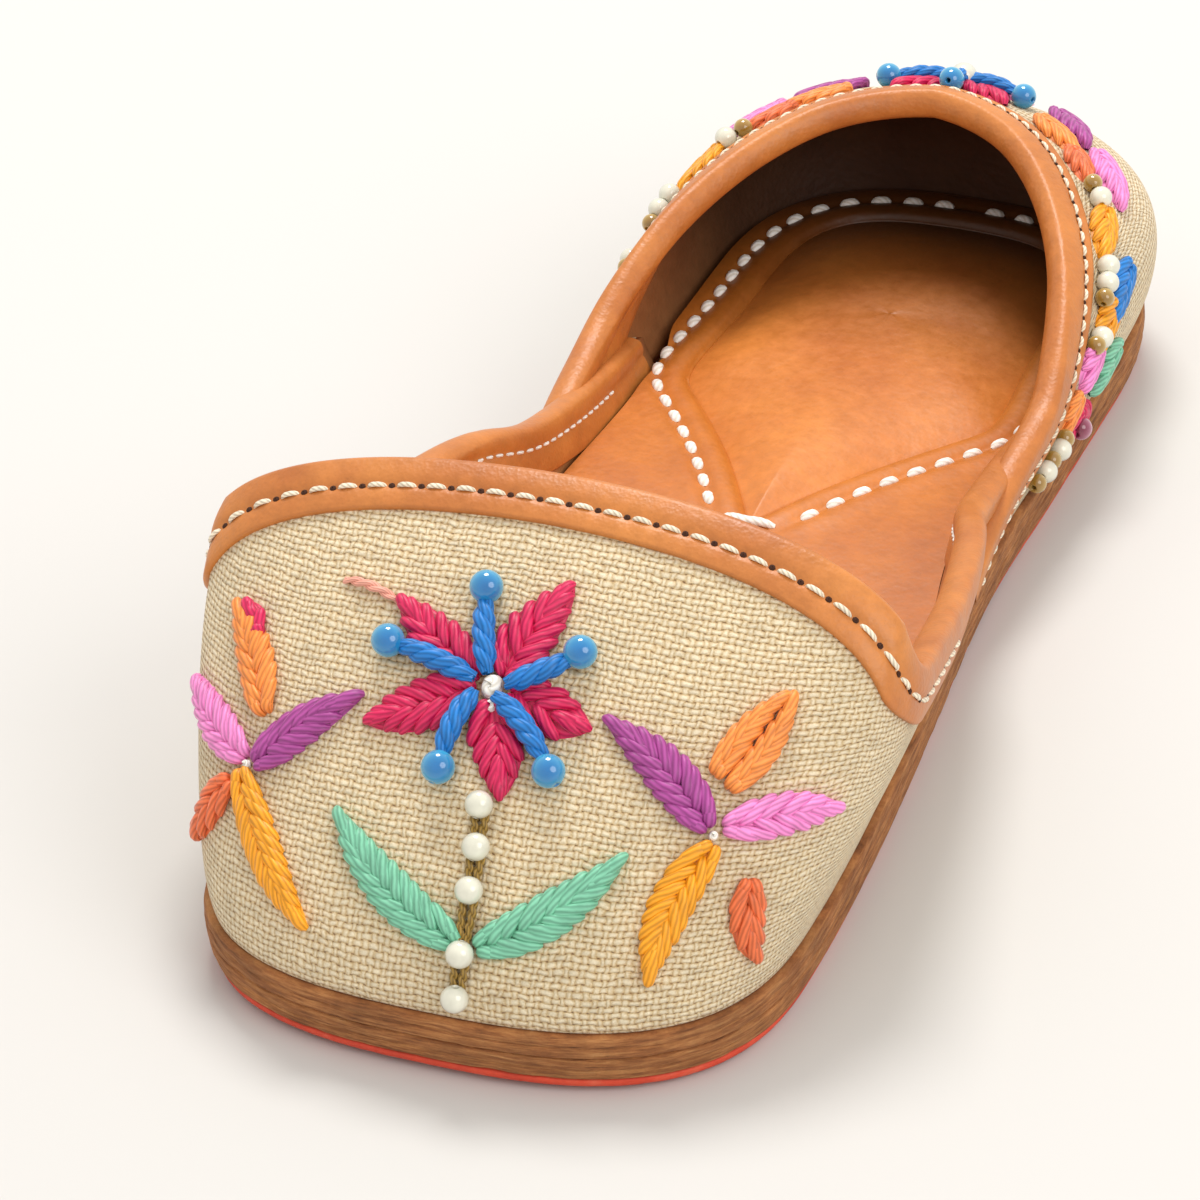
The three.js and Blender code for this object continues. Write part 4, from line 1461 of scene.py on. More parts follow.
def thread_material(name, colour, plies=7, turn=0.05, roughness=0.45, shine=0.15, groove_shading=0.75, depth=0.06):
    """Twisted thread: plies wind round it, with shade painted darker in the grooves and a highlight painted
    lighter on their backs.
    """
    groove_shade = tuple(channel * groove_shading for channel in colour)
    ply_highlight = tuple(min(1.0, channel * 1.18 + 0.015) for channel in colour)
    material, tree, shader = new_material(name, colour, roughness)
    where = tree.nodes.new("ShaderNodeUVMap")
    where.uv_map = "cloth"
    parts = tree.nodes.new("ShaderNodeSeparateXYZ")
    tree.links.new(where.outputs[0], parts.inputs[0])
    around, along = parts.outputs[0], parts.outputs[1]
    spot = place_in_shoe(tree)
    wander = cloud(tree, spot, 2.5, 2.0)
    phase = calc(tree, "MULTIPLY_ADD", along, turn, calc(tree, "MULTIPLY_ADD", wander, 0.1, around))
    wave = calc(tree, "SINE", calc(tree, "MULTIPLY", phase, 2 * math.pi * plies))
    ply = calc(tree, "MULTIPLY_ADD", wave, 0.5, 0.5)
    fibres = cloud(tree, place_in_shoe(tree, (1.0, 1.0, 1.0)), 0.35, 3.0, 0.7)
    # Painted shade in the grooves between plies and a painted highlight on their backs.
    tone = ramp(tree, ply, (0.0, groove_shade), (0.45, colour), (1.0, ply_highlight))
    uneven = grey(tree, cloud(tree, spot, 3.5, 3.0), (0.3, 0.86), (0.7, 1.1))
    tree.links.new(stir(tree, 1.0, tone, uneven, "MULTIPLY"), shader.inputs["Base Color"])
    raised = calc(tree, "MULTIPLY_ADD", fibres, 0.4, calc(tree, "POWER", ply, 0.6))
    tree.links.new(press(tree, raised, depth), shader.inputs["Normal"])
    shader.inputs["Sheen Weight"].default_value = shine
    shader.inputs["Sheen Roughness"].default_value = 0.35
    return material


cream_thread = thread_material(
    "cream_thread", tint(236, 224, 200), plies=3, turn=0.4, roughness=0.42, groove_shading=0.74
)
white_thread = thread_material(
    "white_thread", tint(250, 245, 234), plies=4, turn=0.22, roughness=0.6, groove_shading=0.82, depth=0.05
)
# Painted shade: needle holes and the cover's slit are dark pits that stand for the shade inside them.
painted_hole_shade = flat_material("needle_hole", tint(62, 32, 16), 0.9)
print("tubes of", tube_sides, "sides ready")

# %% [markdown]
# Seams in the bindings
#
# Outside, the throat's seam has a stitch in every 4.2 mm: a plump cream stitch that dips into the leather,
# and a needle hole before the next one, drawn as a dark pit of painted shade. Inside the wings and round
# the heel the seam is finer.
# Stitches follow the same edge as the leather under them and settle where it settles, so they stay in its
# furrow past the corners too.

# %% Sew the bindings
seam_step = 0.4
arch_seam_end = 1.28
wing_seam_start = 1.25
wing_seam_end = 1.85
inside_out = -2.95


def run_of_stitches(face, low, high, pitch, share, depth, out, radius, dip, keep=None):
    """Paths of stitches below a top edge, with the places of the needle holes between them."""
    fine, distance = even_places(face, low, high, seam_step)
    settled = settled_share(face, fine, distance)
    edge = settle(below_top(face, fine, np.array([depth]), np.array([0.0]))[:, 0], distance, settled)
    upright = settle(face_normal(face, fine, np.full(len(fine), 0.96)), distance, settled)

    def along_seam(line, wanted):
        return np.stack([np.interp(wanted, distance, line[:, axis]) for axis in range(3)], -1)

    middles = np.linspace(0, distance[-1], int(distance[-1] / pitch) + 1)[1:-1]
    if keep is not None:
        middles = middles[keep(np.interp(middles, distance, fine))]
    steps = np.linspace(-1, 1, 9)
    along = middles[:, None] + steps * pitch * share / 2
    lift = out - dip * np.abs(steps) ** 3
    normals = along_seam(upright, along)
    paths = along_seam(edge, along) + normals * lift[:, None]
    gaps = middles + pitch / 2
    hole_normal = along_seam(upright, gaps)
    hole_line = along_seam(edge, gaps) + hole_normal * (out - dip * 0.75)
    radii = np.broadcast_to(radius * (1 - 0.55 * np.abs(steps) ** 4), along.shape)
    return tube_parts(paths, normals, radii), hole_line, hole_normal


def pits(places, normals, radius, depth):
    """Painted shade of needle holes: small dark dents, as flattened balls sunk into the leather."""
    paths = places[:, None] + normals[:, None] * (np.linspace(-1, 1, 5) * depth)[None, :, None]
    sideways = np.broadcast_to(np.array([0.31, 0.87, 0.38]), paths.shape)
    swell = radius * np.sqrt(np.clip(1 - np.linspace(-0.98, 0.98, 5) ** 2, 0, 1))
    return tube_parts(paths, sideways, np.broadcast_to(swell, paths.shape[:2]), 8, 1.0)


def on_arch(places):
    return np.abs(places) < arch_seam_end


def behind_corner(places):
    return (np.abs(places) > wing_seam_start) & (np.abs(places) < wing_seam_end)


throat_seam, throat_holes, throat_normals = run_of_stitches(
    vamp_point,
    -1.5,
    1.5,
    pitch=stitch_pitch,
    share=0.66,
    depth=stitch_depth,
    out=1.12,
    radius=0.4,
    dip=0.6,
    keep=on_arch,
)
thread_piece("throat_seam", [throat_seam], cream_thread)
throat_pits = pits(throat_holes, throat_normals, radius=0.52, depth=0.3)
thread_piece("throat_needle_holes", [throat_pits], painted_hole_shade)

wing_seam, _, _ = run_of_stitches(
    vamp_point,
    -1.95,
    1.95,
    pitch=2.1,
    share=0.72,
    depth=inner_stitch_depth,
    out=inside_out,
    radius=0.27,
    dip=-0.3,
    keep=behind_corner,
)
thread_piece("wing_seam", [wing_seam], white_thread)
collar_seam, collar_holes, collar_normals = run_of_stitches(
    quarter_point, -0.98, 0.98, pitch=2.9, share=0.7, depth=stitch_depth, out=1.05, radius=0.33, dip=0.4
)
thread_piece("collar_seam", [collar_seam], cream_thread)
collar_pits = pits(collar_holes, collar_normals, radius=0.34, depth=0.25)
thread_piece("collar_needle_holes", [collar_pits], painted_hole_shade)
print(len(throat_holes), "stitches in the throat,", len(collar_holes), "round the collar")

# %% [markdown]
# White stitches on the insole
#
# The cover is sewn down with thick white thread: a row inside the heel's margin that turns at the waist and
# runs along both strips to the point, two rows on toward the toe, and one stout bar across the point. The
# rows are the opening's edge moved out by a seam margin, cut into stitches that lie plump on the leather.

# %% Sew the cover
white_pitch = 5.0
white_length = 0.54
white_radius = 0.85
white_lift = 0.35
bar_half = 4.2
slit_steps = 14


def cover_height(x, s):
    flat = np.stack([np.abs(x), s], -1)[None]
    to_edge = distance_to_opening(flat)[0]
    return cover_surface(flat[0], to_edge)


def surface_stitches(x, s, pitch, share, radius, lift, dip=0.55):
    """Stitches along a line on the cover."""
    walked = np.concatenate([[0], np.cumsum(np.hypot(np.diff(x), np.diff(s)))])
    count = max(1, int(walked[-1] / pitch))
    middles = (np.arange(count) + 0.5) * walked[-1] / count
    steps = np.linspace(-1, 1, 9)
    along = middles[:, None] + steps * pitch * share / 2
    sx, ss = np.interp(along, walked, x), np.interp(along, walked, s)
    height = cover_height(sx.ravel(), ss.ravel()).reshape(sx.shape)
    paths = in_frame(sx, ss, height + lift - dip * np.abs(steps) ** 3)
    normals = np.broadcast_to(np.array([0.0, 0.0, 1.0]), paths.shape)
    radii = np.broadcast_to(radius * (1 - 0.3 * np.abs(steps) ** 4), sx.shape)
    return tube_parts(paths, normals, radii, 10, 0.75)


def seam_line():
    """The right half of the row of stitches outside the opening, from the point to the heel's middle."""
    dx, ds = np.gradient(opening_x), np.gradient(opening_s)
    size = np.hypot(dx, ds)
    x = opening_x + ds / size * seam_margin
    s = opening_s - dx / size * seam_margin
    keep = (x > 0.5) & (np.arange(len(x)) < len(x) - 3)
    x, s = soft_corners(x[keep], s[keep], 10)
    return even_line(x, s, 160)


seam_x, seam_s = seam_line()
first = int(np.argmax(seam_s > opening_point + 1.5))
white = (white_pitch, white_length, white_radius, white_lift)
rows = [surface_stitches(sign * seam_x[first:], seam_s[first:], *white) for sign in (-1, 1)]
front_row_s = np.linspace(opening_point - 2, sole_length * 0.36, 30)
front_row_x = 3.6 + 0.05 * (opening_point - front_row_s)
rows += [surface_stitches(sign * front_row_x, front_row_s, *white) for sign in (-1, 1)]
bar_x = np.linspace(-bar_half, bar_half, 20)
bar_s = opening_point - 1.2 + 0.8 * (bar_x / bar_half) ** 2
rows.append(surface_stitches(bar_x, bar_s, pitch=8.6, share=0.98, radius=white_radius, lift=0.75, dip=1.0))
thread_piece("insole_seam", rows, white_thread)
# The slit is a dark tube of painted shade.
slit_x = np.zeros(slit_steps)
slit_s = np.linspace(opening_point - 6.5, opening_point + 1.5, slit_steps)
slit = in_frame(slit_x, slit_s, cover_height(slit_x, slit_s) - 0.05)[None]
slit_up = np.broadcast_to(np.array([0.0, 0.0, 1.0]), slit.shape)
slit_radii = 0.42 * np.sin(np.linspace(0.12, math.pi - 0.12, slit_steps))[None]
thread_piece("cover_slit", [tube_parts(slit, slit_up, slit_radii, 8, 0.35)], painted_hole_shade)
print("cover sewn with", len(rows), "rows")

# %% [markdown]
# Leaves and petals in fishbone stitch
#
# Each leaf is worked in fishbone stitch with thick stranded cotton: one straight stitch at the tip, then
# stitches from the left and right edge by turns that slope down to the middle and tuck under the next one.
# A leaf could be one padded shape with a texture, but the light on real strands is what makes them look
# sewn. So each strand is a tube, and its place comes from the leaf's own axis, laid on the curved canvas.

# %% Work a leaf
strand_radius = 0.9
strand_gap = 2.35
strand_reach = 5.6
leaf_relief = 1.2


def on_face(face, base, tip, along, across):
    """Points and normals at shares along a leaf's axis and distances beside it in millimetres."""
    base, tip = np.array(base), np.array(tip)
    spot = base + (tip - base) * along[..., None]
    u, up = spot[..., 0], spot[..., 1]
    step = 0.004
    per_u = (face(u + step, up) - face(u - step, up)) / (2 * step)
    per_up = (face(u, up + step) - face(u, up - step)) / (2 * step)
    axis = unit(per_u * (tip - base)[0] + per_up * (tip - base)[1])
    normal = unit(np.cross(per_u, per_up))
    beside = np.cross(normal, axis)
    a = (per_u * per_u).sum(-1)
    b = (per_u * per_up).sum(-1)
    c = (per_up * per_up).sum(-1)
    right_u = (per_u * beside).sum(-1)
    right_up = (per_up * beside).sum(-1)
    span = a * c - b * b
    shift_u = (c * right_u - b * right_up) / span
    shift_up = (a * right_up - b * right_u) / span
    u, up = u + shift_u * across, np.clip(up + shift_up * across, 0.0, 1.0)
    return face(u, up), face_normal(face, u, np.clip(up, 0.003, 0.997))


def axis_length(face, base, tip):
    line, _ = on_face(face, base, tip, np.linspace(0, 1, 12), np.zeros(12))
    return float(np.linalg.norm(np.diff(line, axis=0), axis=-1).sum())


def leaf_half_width(along, width):
    """Half the width of a leaf at a share of its length: widest a little below its middle."""
    return width / 2 * np.sin(math.pi * np.clip(along, 0, 1) ** 0.82) ** 0.7


def leaf_pad(face, base, tip, width, bow):
    """The flat padding stitches under the strands, as one low dome."""
    along, across = np.meshgrid(np.linspace(0.03, 0.97, 18), np.linspace(-1, 1, 9), indexing="ij")
    bent = bow * 4 * along * (1 - along)
    beside = across * leaf_half_width(along, width) * 0.9 + bent
    points, normal = on_face(face, base, tip, along, beside)
    height = 0.75 * leaf_relief * np.sqrt(np.clip(1 - across**2, 0, 1)) - 0.15
    points = points + normal * height[..., None]
    uv = np.stack([across * 0.5, along * 8], -1)
    return points.reshape(-1, 3), ring_faces(18, 9, closed_ring=False), uv.reshape(-1, 2)


def fishbone(face, base, tip, width, bow=0.0):
    """The strands of one leaf, ready to be joined."""
    length = axis_length(face, base, tip)
    reach = min(0.6, strand_reach / length)
    count = max(3, round(length / strand_gap))
    q = np.linspace(0, 1, 11)
    rows_along, rows_across, rows_lift, rows_radius = [], [], [], []

    def add_strand(along, across, top, thick):
        rows_along.append(along)
        rows_across.append(across + bow * 4 * along * (1 - along))
        rows_lift.append(top)
        rows_radius.append(thick * (1 - 0.5 * np.abs(2 * q - 1) ** 5))

    tip_lift = leaf_relief * (0.9 - 0.7 * (2 * q - 1) ** 4)
    add_strand(mix(1.0, 1 - reach * 0.9, q), np.zeros_like(q), tip_lift, strand_radius)
    for i in range(count):
        outer = 0.93 - 0.83 * i / (count - 1) + dice.uniform(-0.01, 0.01)
        for side in (-1, 1):
            start = outer + 0.02 * side
            end = max(0.0, start - reach * dice.uniform(0.92, 1.05))
            edge = side * max(0.25, float(leaf_half_width(start, width)) - strand_radius * 0.55)
            inner = -side * 0.25 if end > 0.04 else side * 0.5 * strand_radius
            along = mix(start, end, q)
            across = mix(edge, inner, q**1.25)
            crown = leaf_relief * (1 - 0.6 * (across / max(width / 2, 0.1)) ** 2)
            dive = np.clip(1 - (np.abs(2 * q - 0.95)) ** 5, 0, 1)
            add_strand(along, across, crown * dive - 0.12, strand_radius * dice.uniform(0.92, 1.06))
    along, across = np.array(rows_along), np.array(rows_across)
    points, normal = on_face(face, base, tip, along, across)
    paths = points + normal * np.array(rows_lift)[..., None]
    strands = tube_parts(paths, normal, np.array(rows_radius), 10, 0.85)
    return [strands, leaf_pad(face, base, tip, width, bow)]


floss_colours = {
    "magenta": tint(206, 6, 82),
    "purple": tint(164, 64, 144),
    "pink": tint(236, 134, 200),
    "mint": tint(118, 190, 158),
    "yellow": tint(240, 158, 4),
    "orange": tint(240, 140, 58),
    "salmon": tint(226, 108, 56),
    "blue": tint(0, 116, 196),
    "blush": tint(244, 168, 148),
}
floss = {name: thread_material(name + "_floss", colour) for name, colour in floss_colours.items()}
print("flosses:", ", ".join(floss))

# %% [markdown]
# The garden on the vamp
#
# A magenta flower stands on a beaded stem between two mint leaves, with a sprig on each side. The chart
# below gives each leaf's base and tip on the canvas: first the share of the way from the middle (0) to the
# throat's corner (1), then the share of the way up from the sole (0) to the throat (1). Width and bow are
# millimetres. An embroiderer would draw the same chart on the cloth with chalk.

# %% Chart and work the leaves
vamp_chart = [
    {"floss": "magenta", "base": (-0.018, 0.612), "tip": (-0.172, 0.71), "width": 7.2, "bow": 0.5},
    {"floss": "magenta", "base": (0.008, 0.616), "tip": (0.05, 0.778), "width": 7.8, "bow": 0.3},
    {"floss": "magenta", "base": (-0.02, 0.588), "tip": (-0.188, 0.518), "width": 8.2, "bow": 0.4},
    {"floss": "magenta", "base": (0.02, 0.594), "tip": (0.158, 0.567), "width": 8.2, "bow": -0.4},
    {"floss": "magenta", "base": (0.002, 0.576), "tip": (0.054, 0.443), "width": 7.8, "bow": 0.3},
    {"floss": "mint", "base": (0.052, 0.206), "tip": (-0.216, 0.388), "width": 6.8, "bow": 1.6},
    {"floss": "mint", "base": (0.095, 0.206), "tip": (0.306, 0.402), "width": 6.8, "bow": -1.4},
    {"floss": "purple", "base": (0.438, 0.462), "tip": (0.172, 0.588), "width": 7.0, "bow": -1.2},
    {"floss": "orange", "base": (0.412, 0.545), "tip": (0.5, 0.7), "width": 3.6, "bow": 0.9},
    {"floss": "orange", "base": (0.452, 0.528), "tip": (0.508, 0.706), "width": 3.6, "bow": -1.2},
    {"floss": "pink", "base": (0.474, 0.466), "tip": (0.77, 0.525), "width": 6.0, "bow": 0.6},
    {"floss": "yellow", "base": (0.464, 0.435), "tip": (0.442, 0.165), "width": 6.2, "bow": -1.6},
    {"floss": "salmon", "base": (0.575, 0.375), "tip": (0.69, 0.17), "width": 5.4, "bow": -0.6},
    {"floss": "orange", "base": (-0.412, 0.508), "tip": (-0.562, 0.69), "width": 6.0, "bow": -0.7},
    {"floss": "magenta", "base": (-0.47, 0.63), "tip": (-0.528, 0.688), "width": 3.4, "bow": -0.4},
    {"floss": "pink", "base": (-0.45, 0.432), "tip": (-0.73, 0.54), "width": 6.4, "bow": 0.6},
    {"floss": "purple", "base": (-0.415, 0.425), "tip": (-0.2, 0.558), "width": 6.4, "bow": 0.8},
    {"floss": "yellow", "base": (-0.455, 0.41), "tip": (-0.257, 0.17), "width": 5.8, "bow": -0.8},
    {"floss": "salmon", "base": (-0.488, 0.385), "tip": (-0.665, 0.21), "width": 6.0, "bow": -0.6},
]
vamp_leaves = {}
for row in vamp_chart:
    parts = fishbone(vamp_point, row["base"], row["tip"], row["width"], row["bow"])
    vamp_leaves.setdefault(row["floss"], []).extend(parts)
for colour, parts in vamp_leaves.items():
    piece = thread_piece("vamp_" + colour, parts, floss[colour])
    print(piece.name, len(piece.data.polygons), "faces")

# %% [markdown]
# Cords, knots and beads
#
# Five blue cords run out between the petals, each to a glass bead. They are twisted of three strands that
# wind round each other, so the cord's path is walked once and every strand circles it. A bead is a turned
# form: the profile of a ball with a bore through it, spun round the thread that it sits on.

# %% Twist cords and turn beads
bead_radius = 2.35
pearl_radius = 1.95
bead_bore = 0.45
bead_sink = 0.12
ball_rows = 23
ball_sides = 32
cord_squash = 0.85


def cord_parts(path, normal, radius, strands=3, pitch=7.5):
    """Strands that circle a path: path and normal (n, 3), radius (n,)."""
    tangent = unit(np.gradient(path, axis=0))
    side = unit(np.cross(tangent, normal))
    rise = unit(np.cross(side, tangent))
    walked = np.concatenate([[0], np.cumsum(np.linalg.norm(np.diff(path, axis=0), axis=-1))])
    paths = []
    for i in range(strands):
        angle = 2 * math.pi * (walked / pitch + i / strands)
        offset = side * np.cos(angle)[:, None] + rise * (np.sin(angle) * cord_squash)[:, None]
        paths.append(path + offset * (radius * 0.5)[:, None])
    paths = np.array(paths)
    normals = np.broadcast_to(normal, paths.shape)
    radii = np.broadcast_to(radius * 0.62, paths.shape[:2])
    return tube_parts(paths, normals, radii, 10, 0.9)


def face_line(face, start, end, count, lift, bow=0.0):
    """A line over a face between two places, with its normals, lifted off it."""
    along = np.linspace(0, 1, count)
    points, normal = on_face(face, start, end, along, bow * 4 * along * (1 - along))
    return points + normal * np.broadcast_to(lift, along.shape)[:, None], normal


def ball_parts(centre, axis, radius):
    """A drilled ball round an axis."""
    axis = axis / np.linalg.norm(axis)
    help_axis = np.array([0.0, 0.0, 1.0]) if abs(axis[2]) < 0.9 else np.array([1.0, 0.0, 0.0])
    side = unit(np.cross(axis, help_axis))
    rise = np.cross(axis, side)
    opening = math.asin(bead_bore / radius)
    polar = np.linspace(opening, math.pi - opening, ball_rows)
    profile_r = np.concatenate([radius * np.sin(polar), [bead_bore * 0.85, bead_bore * 0.85]])
    profile_a = np.concatenate([radius * np.cos(polar), [-radius * 0.8, radius * 0.8]])
    turn = np.linspace(0, 2 * math.pi, ball_sides + 1)[:-1]
    ring = (
        centre
        + profile_a[:, None, None] * axis
        + profile_r[:, None, None] * (np.cos(turn)[:, None] * side + np.sin(turn)[:, None] * rise)
    )
    faces = ring_faces(len(profile_r), ball_sides, closed_band=True)
    uv = np.zeros((ring.shape[0] * ring.shape[1], 2))
    return ring.reshape(-1, 3), faces, uv


def bead_on(face, spot, toward, radius):
    """A bead that lies on a face, with its bore along the direction to another place."""
    point, normal = (value[0] for value in on_face(face, spot, toward, np.zeros(1), np.zeros(1)))
    ahead = on_face(face, spot, toward, np.array([0.3]), np.zeros(1))[0][0]
    return ball_parts(point + normal * radius * (1 - bead_sink), ahead - point, radius)


def glass_material(name, colour, rim):
    """Pearly glass: a rim colour painted at grazing angles, a painted reflection where it is lighter and
    painted shade where it is darker, faint clouds inside, and a clear glaze.
    """
    material, tree, shader = new_material(name, colour, 0.1)
    where = place_in_shoe(tree)
    clouds = cloud(tree, where, 2.0, 2.0)
    painted_rim_weight = tree.nodes.new("ShaderNodeLayerWeight")
    painted_rim_weight.inputs["Blend"].default_value = 0.32
    darker = tuple(part * 0.8 for part in colour)
    lighter = tuple(min(1, part * 1.2) for part in colour)
    body = stir(tree, clouds, darker, lighter)
    # The rim colour is mixed in at grazing angles: a painted reflection where it is lighter than the body,
    # painted shade where it is darker.
    tree.links.new(stir(tree, painted_rim_weight.outputs["Facing"], body, rim), shader.inputs["Base Color"])
    tree.links.new(grey(tree, clouds, (0.3, 0.07), (0.7, 0.14)), shader.inputs["Roughness"])
    tree.links.new(press(tree, clouds, 0.05), shader.inputs["Normal"])
    shader.inputs["Coat Weight"].default_value = 1.0
    shader.inputs["Coat Roughness"].default_value = 0.05
    return material


# Painted rims: lighter on the blue, gold and plum glass as painted reflection, darker on the pearls as
# painted shade.
blue_glass = glass_material("blue_glass", tint(0, 112, 180), tint(96, 208, 236))
pearl_coat = glass_material("pearl_coat", tint(228, 227, 210), tint(196, 196, 184))
gold_glass = glass_material("gold_glass", tint(150, 112, 40), tint(214, 186, 110))
plum_glass = glass_material("plum_glass", tint(120, 20, 60), tint(220, 150, 180))
gold_cord = thread_material(
    "gold_cord", tint(156, 122, 44), plies=4, turn=0.2, roughness=0.42, shine=0.3, groove_shading=0.55, depth=0.08
)

flower_cords = [
    {"start": (-0.006, 0.612), "bead": (-0.035, 0.738), "bow": 0.3},
    {"start": (-0.019, 0.602), "bead": (-0.165, 0.634), "bow": -0.2},
    {"start": (0.014, 0.602), "bead": (0.102, 0.667), "bow": -0.5},
    {"start": (-0.014, 0.584), "bead": (-0.036, 0.468), "bow": -0.6},
    {"start": (0.006, 0.583), "bead": (0.122, 0.493), "bow": 0.4},
]
cord_steps = 26
cord_list, bead_list = [], []
for row in flower_cords:
    t = np.linspace(0, 1, cord_steps)
    lift = 1.5 + 1.0 * np.sin(math.pi * np.clip(t * 0.92, 0, 1)) - 0.4 * t
    path, normal = face_line(vamp_point, row["start"], row["bead"], cord_steps, lift, row["bow"])
    thick = 1.5 * (1 - 0.5 * ease(t, 0.55, 1.0)) * (0.55 + 0.45 * ease(t, 0, 0.18))
    cord_list.append(cord_parts(path, normal, thick))
    bead_list.append(bead_on(vamp_point, row["bead"], row["start"], bead_radius))
thread_piece("flower_cords", cord_list, floss["blue"])


def bead_piece(name, parts, material):
    points, faces, _ = join_parts(parts)
    mesh = make_mesh(name, points, faces)
    outward_faces(mesh)
    return add_piece(name, mesh, material)


bead_piece("flower_beads", bead_list, blue_glass)

stem_places = [(0.03, 0.428), (0.045, 0.367), (0.055, 0.3), (0.069, 0.188), (0.075, 0.09)]
pearls = [bead_on(vamp_point, spot, (spot[0], spot[1] - 0.1), pearl_radius) for spot in stem_places]
bead_piece("stem_pearls", pearls, pearl_coat)
stem_steps = 14
stem_radius = 0.62
stem_offset = 0.62
stem_parts = []
for start, end in zip(stem_places[:-1], stem_places[1:]):
    for side in (-1, 1):
        t = np.linspace(0, 1, stem_steps)
        beside = side * (stem_offset + 0.12 * np.sin(2 * math.pi * t))
        points, normal = on_face(vamp_point, start, end, t, beside)
        lift = 0.75 + 0.1 * side * np.cos(math.pi * t)
        path = points + normal * lift[:, None]
        stem_parts.append(cord_parts(path, normal, np.full(stem_steps, stem_radius), strands=2, pitch=3.0))
thread_piece("stem_cord", stem_parts, gold_cord)


knot_turns = 2.2
knot_steps = 40


def knot_parts(face, spot, size):
    """A small knot: a thread wound into a ring."""
    angle = np.linspace(0, 2 * math.pi * knot_turns, knot_steps)
    swirl = size * 0.6 * (1 - 0.35 * angle / angle[-1])
    above = (spot[0], spot[1] + 0.05)
    reach = axis_length(face, spot, above)
    along, across = swirl * np.cos(angle) / reach, swirl * 0.75 * np.sin(angle)
    points, normal = on_face(face, spot, above, along, across)
    lift = 0.4 + 0.9 * angle / angle[-1]
    path = points + normal * lift[:, None]
    radii = np.full((1, knot_steps), size * 0.42)
    return tube_parts(path[None], normal[None], radii, 9, 0.9)


knots = [
    knot_parts(vamp_point, (0.0, 0.597), 1.9),
    knot_parts(vamp_point, (0.004, 0.57), 1.0),
    knot_parts(vamp_point, (0.457, 0.45), 0.75),
    knot_parts(vamp_point, (-0.438, 0.42), 0.75),
]
thread_piece("knots", knots, white_thread)
stray_steps = 24
t = np.linspace(0, 1, stray_steps)
stray_lift = 0.3 + 0.7 * np.sin(math.pi * t)
stray, stray_normal = face_line(vamp_point, (-0.285, 0.728), (-0.168, 0.7), stray_steps, stray_lift, 0.5)
stray_radius = 0.7 * (0.7 + 0.3 * np.sin(math.pi * t))
loose_thread = cord_parts(stray, stray_normal, stray_radius, strands=2, pitch=5.0)
thread_piece("loose_thread", [loose_thread], floss["blush"])
print("beads", len(bead_list), "pearls", len(pearls), "knots", len(knots))

# %% [markdown]
# The garland round the heel
#
# A band of small leaves, pearls and gilt beads runs along the collar on both sides and meets in a second
# flower behind the heel. Seen from the toe it is mostly a bright rim. One side is charted below and worked
# twice, mirrored. Here a leaf is easier to give as its middle, its turn and its length, so a helper first
# walks some millimetres over the canvas from a place. A middle is the share of the way from the heel (0) to
# the quarter's front (1), and the millimetres below the collar's edge.

# %% Chart and work the garland


def spot_beside(face, spot, right, above):
    """The place on a face some millimetres to the right of another place and above it."""
    place = np.array(spot, float)
    strides = 6
    for _ in range(strides):
        u, up = place
        per_u = (face(u + 0.002, up) - face(u - 0.002, up)) / 0.004
        per_up = (face(u, up + 0.002) - face(u, up - 0.002)) / 0.004
        level = unit(per_u)
        rise = np.cross(unit(np.cross(per_u, per_up)), level)
        goal = (level * right + rise * above) / strides
        table = np.array([[per_u @ per_u, per_u @ per_up], [per_u @ per_up, per_up @ per_up]])
        place += np.linalg.solve(table, np.array([goal @ per_u, goal @ per_up]))
    return tuple(place)


def leaf_at(face, middle, turn, length, width):
    """A leaf from its middle, its turn from level in degrees, and its length."""
    angle = math.radians(turn)
    right, above = math.cos(angle) * length / 2, math.sin(angle) * length / 2
    base = spot_beside(face, middle, -right, -above)
    tip = spot_beside(face, middle, right, above)
    return fishbone(face, base, tip, width)


def under_collar(place, below):
    """The place on the quarter some millimetres below the collar's edge."""
    return spot_beside(quarter_point, (place, 0.998), 0.0, -below)


garland_chart = [
    {"floss": "purple", "at": (0.125, 15.5), "turn": 16, "length": 13.0, "width": 5.8},
    {"floss": "orange", "at": (0.152, 9.6), "turn": -4, "length": 11.0, "width": 5.2},
    {"floss": "salmon", "at": (0.216, 9.2), "turn": -4, "length": 8.5, "width": 4.8},
    {"floss": "pink", "at": (0.22, 15.2), "turn": -10, "length": 13.0, "width": 6.0},
    {"floss": "yellow", "at": (0.33, 9.6), "turn": -3, "length": 11.0, "width": 5.4},
    {"floss": "blue", "at": (0.38, 15.0), "turn": -6, "length": 13.5, "width": 5.4},
    {"floss": "yellow", "at": (0.452, 12.2), "turn": -6, "length": 10.5, "width": 5.4},
    {"floss": "mint", "at": (0.462, 18.2), "turn": -4, "length": 12.0, "width": 5.2},
    {"floss": "pink", "at": (0.528, 10.4), "turn": -10, "length": 9.0, "width": 5.2},
    {"floss": "magenta", "at": (0.548, 15.8), "turn": 60, "length": 7.0, "width": 5.2},
    {"floss": "magenta", "at": (0.59, 14.6), "turn": -40, "length": 7.5, "width": 5.2},
    {"floss": "orange", "at": (0.625, 9.0), "turn": -20, "length": 9.0, "width": 4.8},
]
garland_pearls = [(0.278, 9.4), (0.385, 8.9), (0.41, 8.8), (0.488, 9.4), (0.682, 8.4), (0.735, 7.8)]
garland_gold = [(0.254, 9.0), (0.434, 8.6), (0.508, 8.4), (0.66, 8.6), (0.71, 8.0), (0.762, 7.8)]
flower_at_heel = under_collar(0.0, 13.4)
heel_petals = [(30, "magenta"), (150, "magenta"), (-36, "pink"), (-144, "pink"), (-90, "purple")]
heel_cords = [(90, 6.0), (8, 11.5), (172, 11.5)]

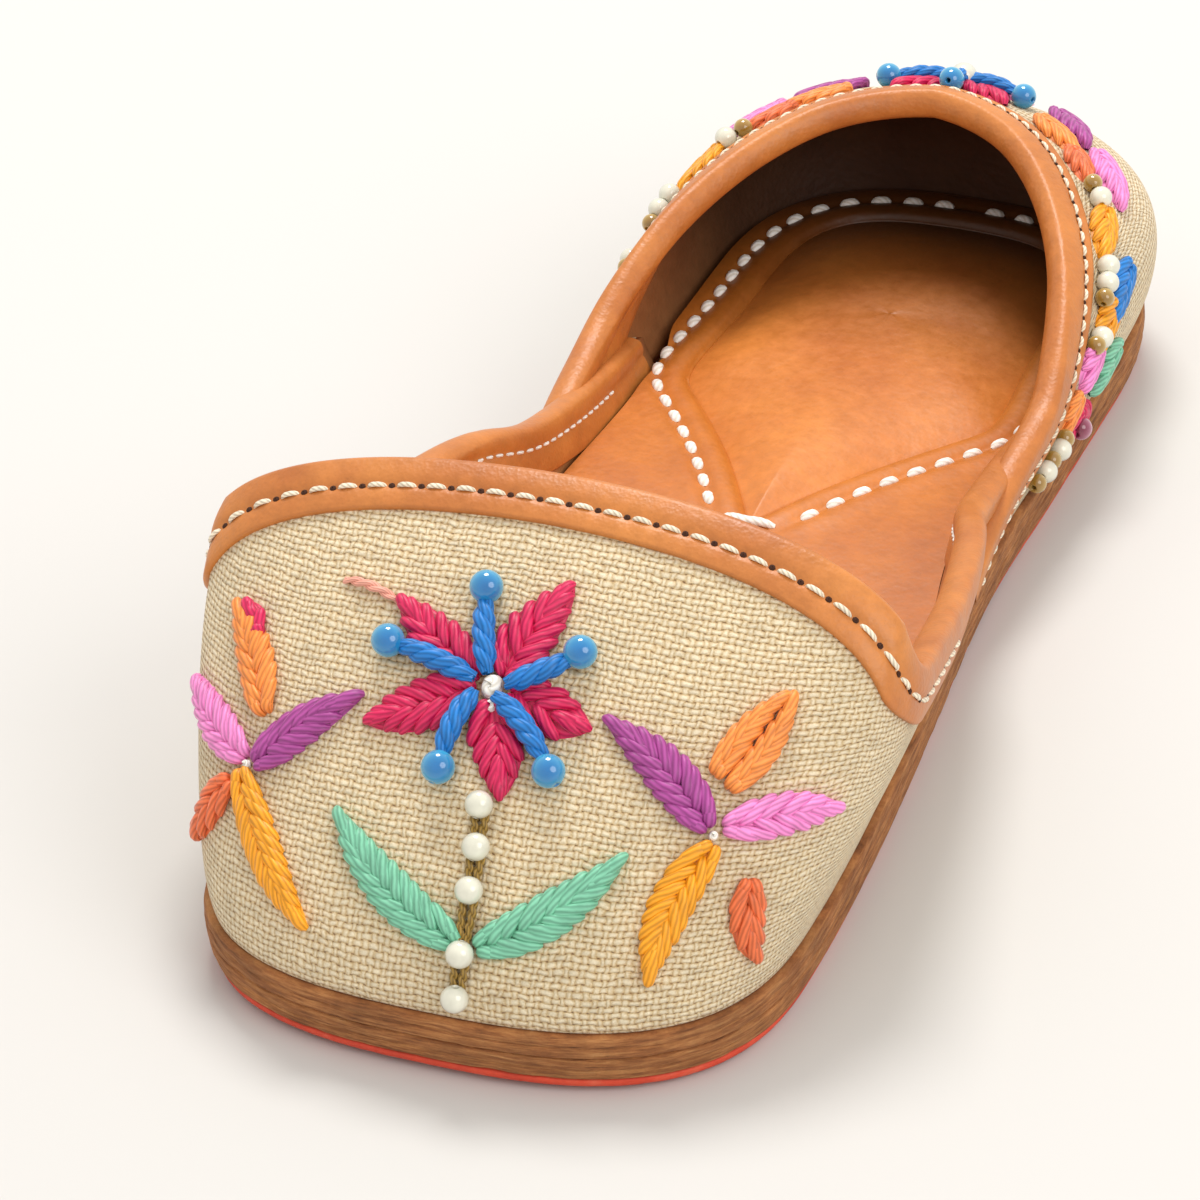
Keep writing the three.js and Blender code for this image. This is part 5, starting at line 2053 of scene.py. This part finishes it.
heel_leaves = {}
for turn, colour in heel_petals:
    angle = math.radians(turn)
    middle = spot_beside(quarter_point, flower_at_heel, 6.6 * math.cos(angle), 5.4 * math.sin(angle))
    heel_leaves.setdefault(colour, []).extend(leaf_at(quarter_point, middle, turn, 11.0, 6.6))
side_beads = {"pearl": [], "gold": [], "plum": []}
for side in (-1, 1):
    for row in garland_chart:
        place, up = under_collar(*row["at"])
        turn = row["turn"] if side > 0 else 180 - row["turn"]
        parts = leaf_at(quarter_point, (side * place, up), turn, row["length"], row["width"])
        heel_leaves.setdefault(row["floss"], []).extend(parts)
    for kind, spots, radius in (("pearl", garland_pearls, 1.75), ("gold", garland_gold, 1.5)):
        for spot in spots:
            place, up = under_collar(*spot)
            ahead = (side * (place + 0.05), up)
            side_beads[kind].append(bead_on(quarter_point, (side * place, up), ahead, radius))
    place, up = under_collar(0.568, 15.4)
    side_beads["plum"].append(bead_on(quarter_point, (side * place, up), (side * (place + 0.03), up), 1.8))
for colour, parts in heel_leaves.items():
    thread_piece("garland_" + colour, parts, floss[colour])

heel_cord_steps = 20
heel_cord_list, heel_bead_list = [], []
for turn, length in heel_cords:
    angle = math.radians(turn)
    end = spot_beside(quarter_point, flower_at_heel, length * math.cos(angle), length * math.sin(angle))
    t = np.linspace(0, 1, heel_cord_steps)
    lift = 1.5 + 0.7 * np.sin(math.pi * t)
    path, normal = face_line(quarter_point, flower_at_heel, end, heel_cord_steps, lift)
    heel_cord_list.append(cord_parts(path, normal, 1.25 * (1 - 0.35 * ease(t, 0.5, 1.0))))
    heel_bead_list.append(bead_on(quarter_point, end, flower_at_heel, 2.0))
thread_piece("heel_flower_cords", heel_cord_list, floss["blue"])
bead_piece("heel_flower_beads", heel_bead_list, blue_glass)
side_beads["pearl"].append(bead_on(quarter_point, flower_at_heel, (0.05, flower_at_heel[1]), 2.2))
bead_piece("garland_pearls", side_beads["pearl"], pearl_coat)
bead_piece("garland_gold_beads", side_beads["gold"], gold_glass)
bead_piece("garland_plum_beads", side_beads["plum"], plum_glass)
bead_count = sum(len(beads) for beads in side_beads.values())
print("garland:", 2 * len(garland_chart), "leaves and", bead_count, "beads")
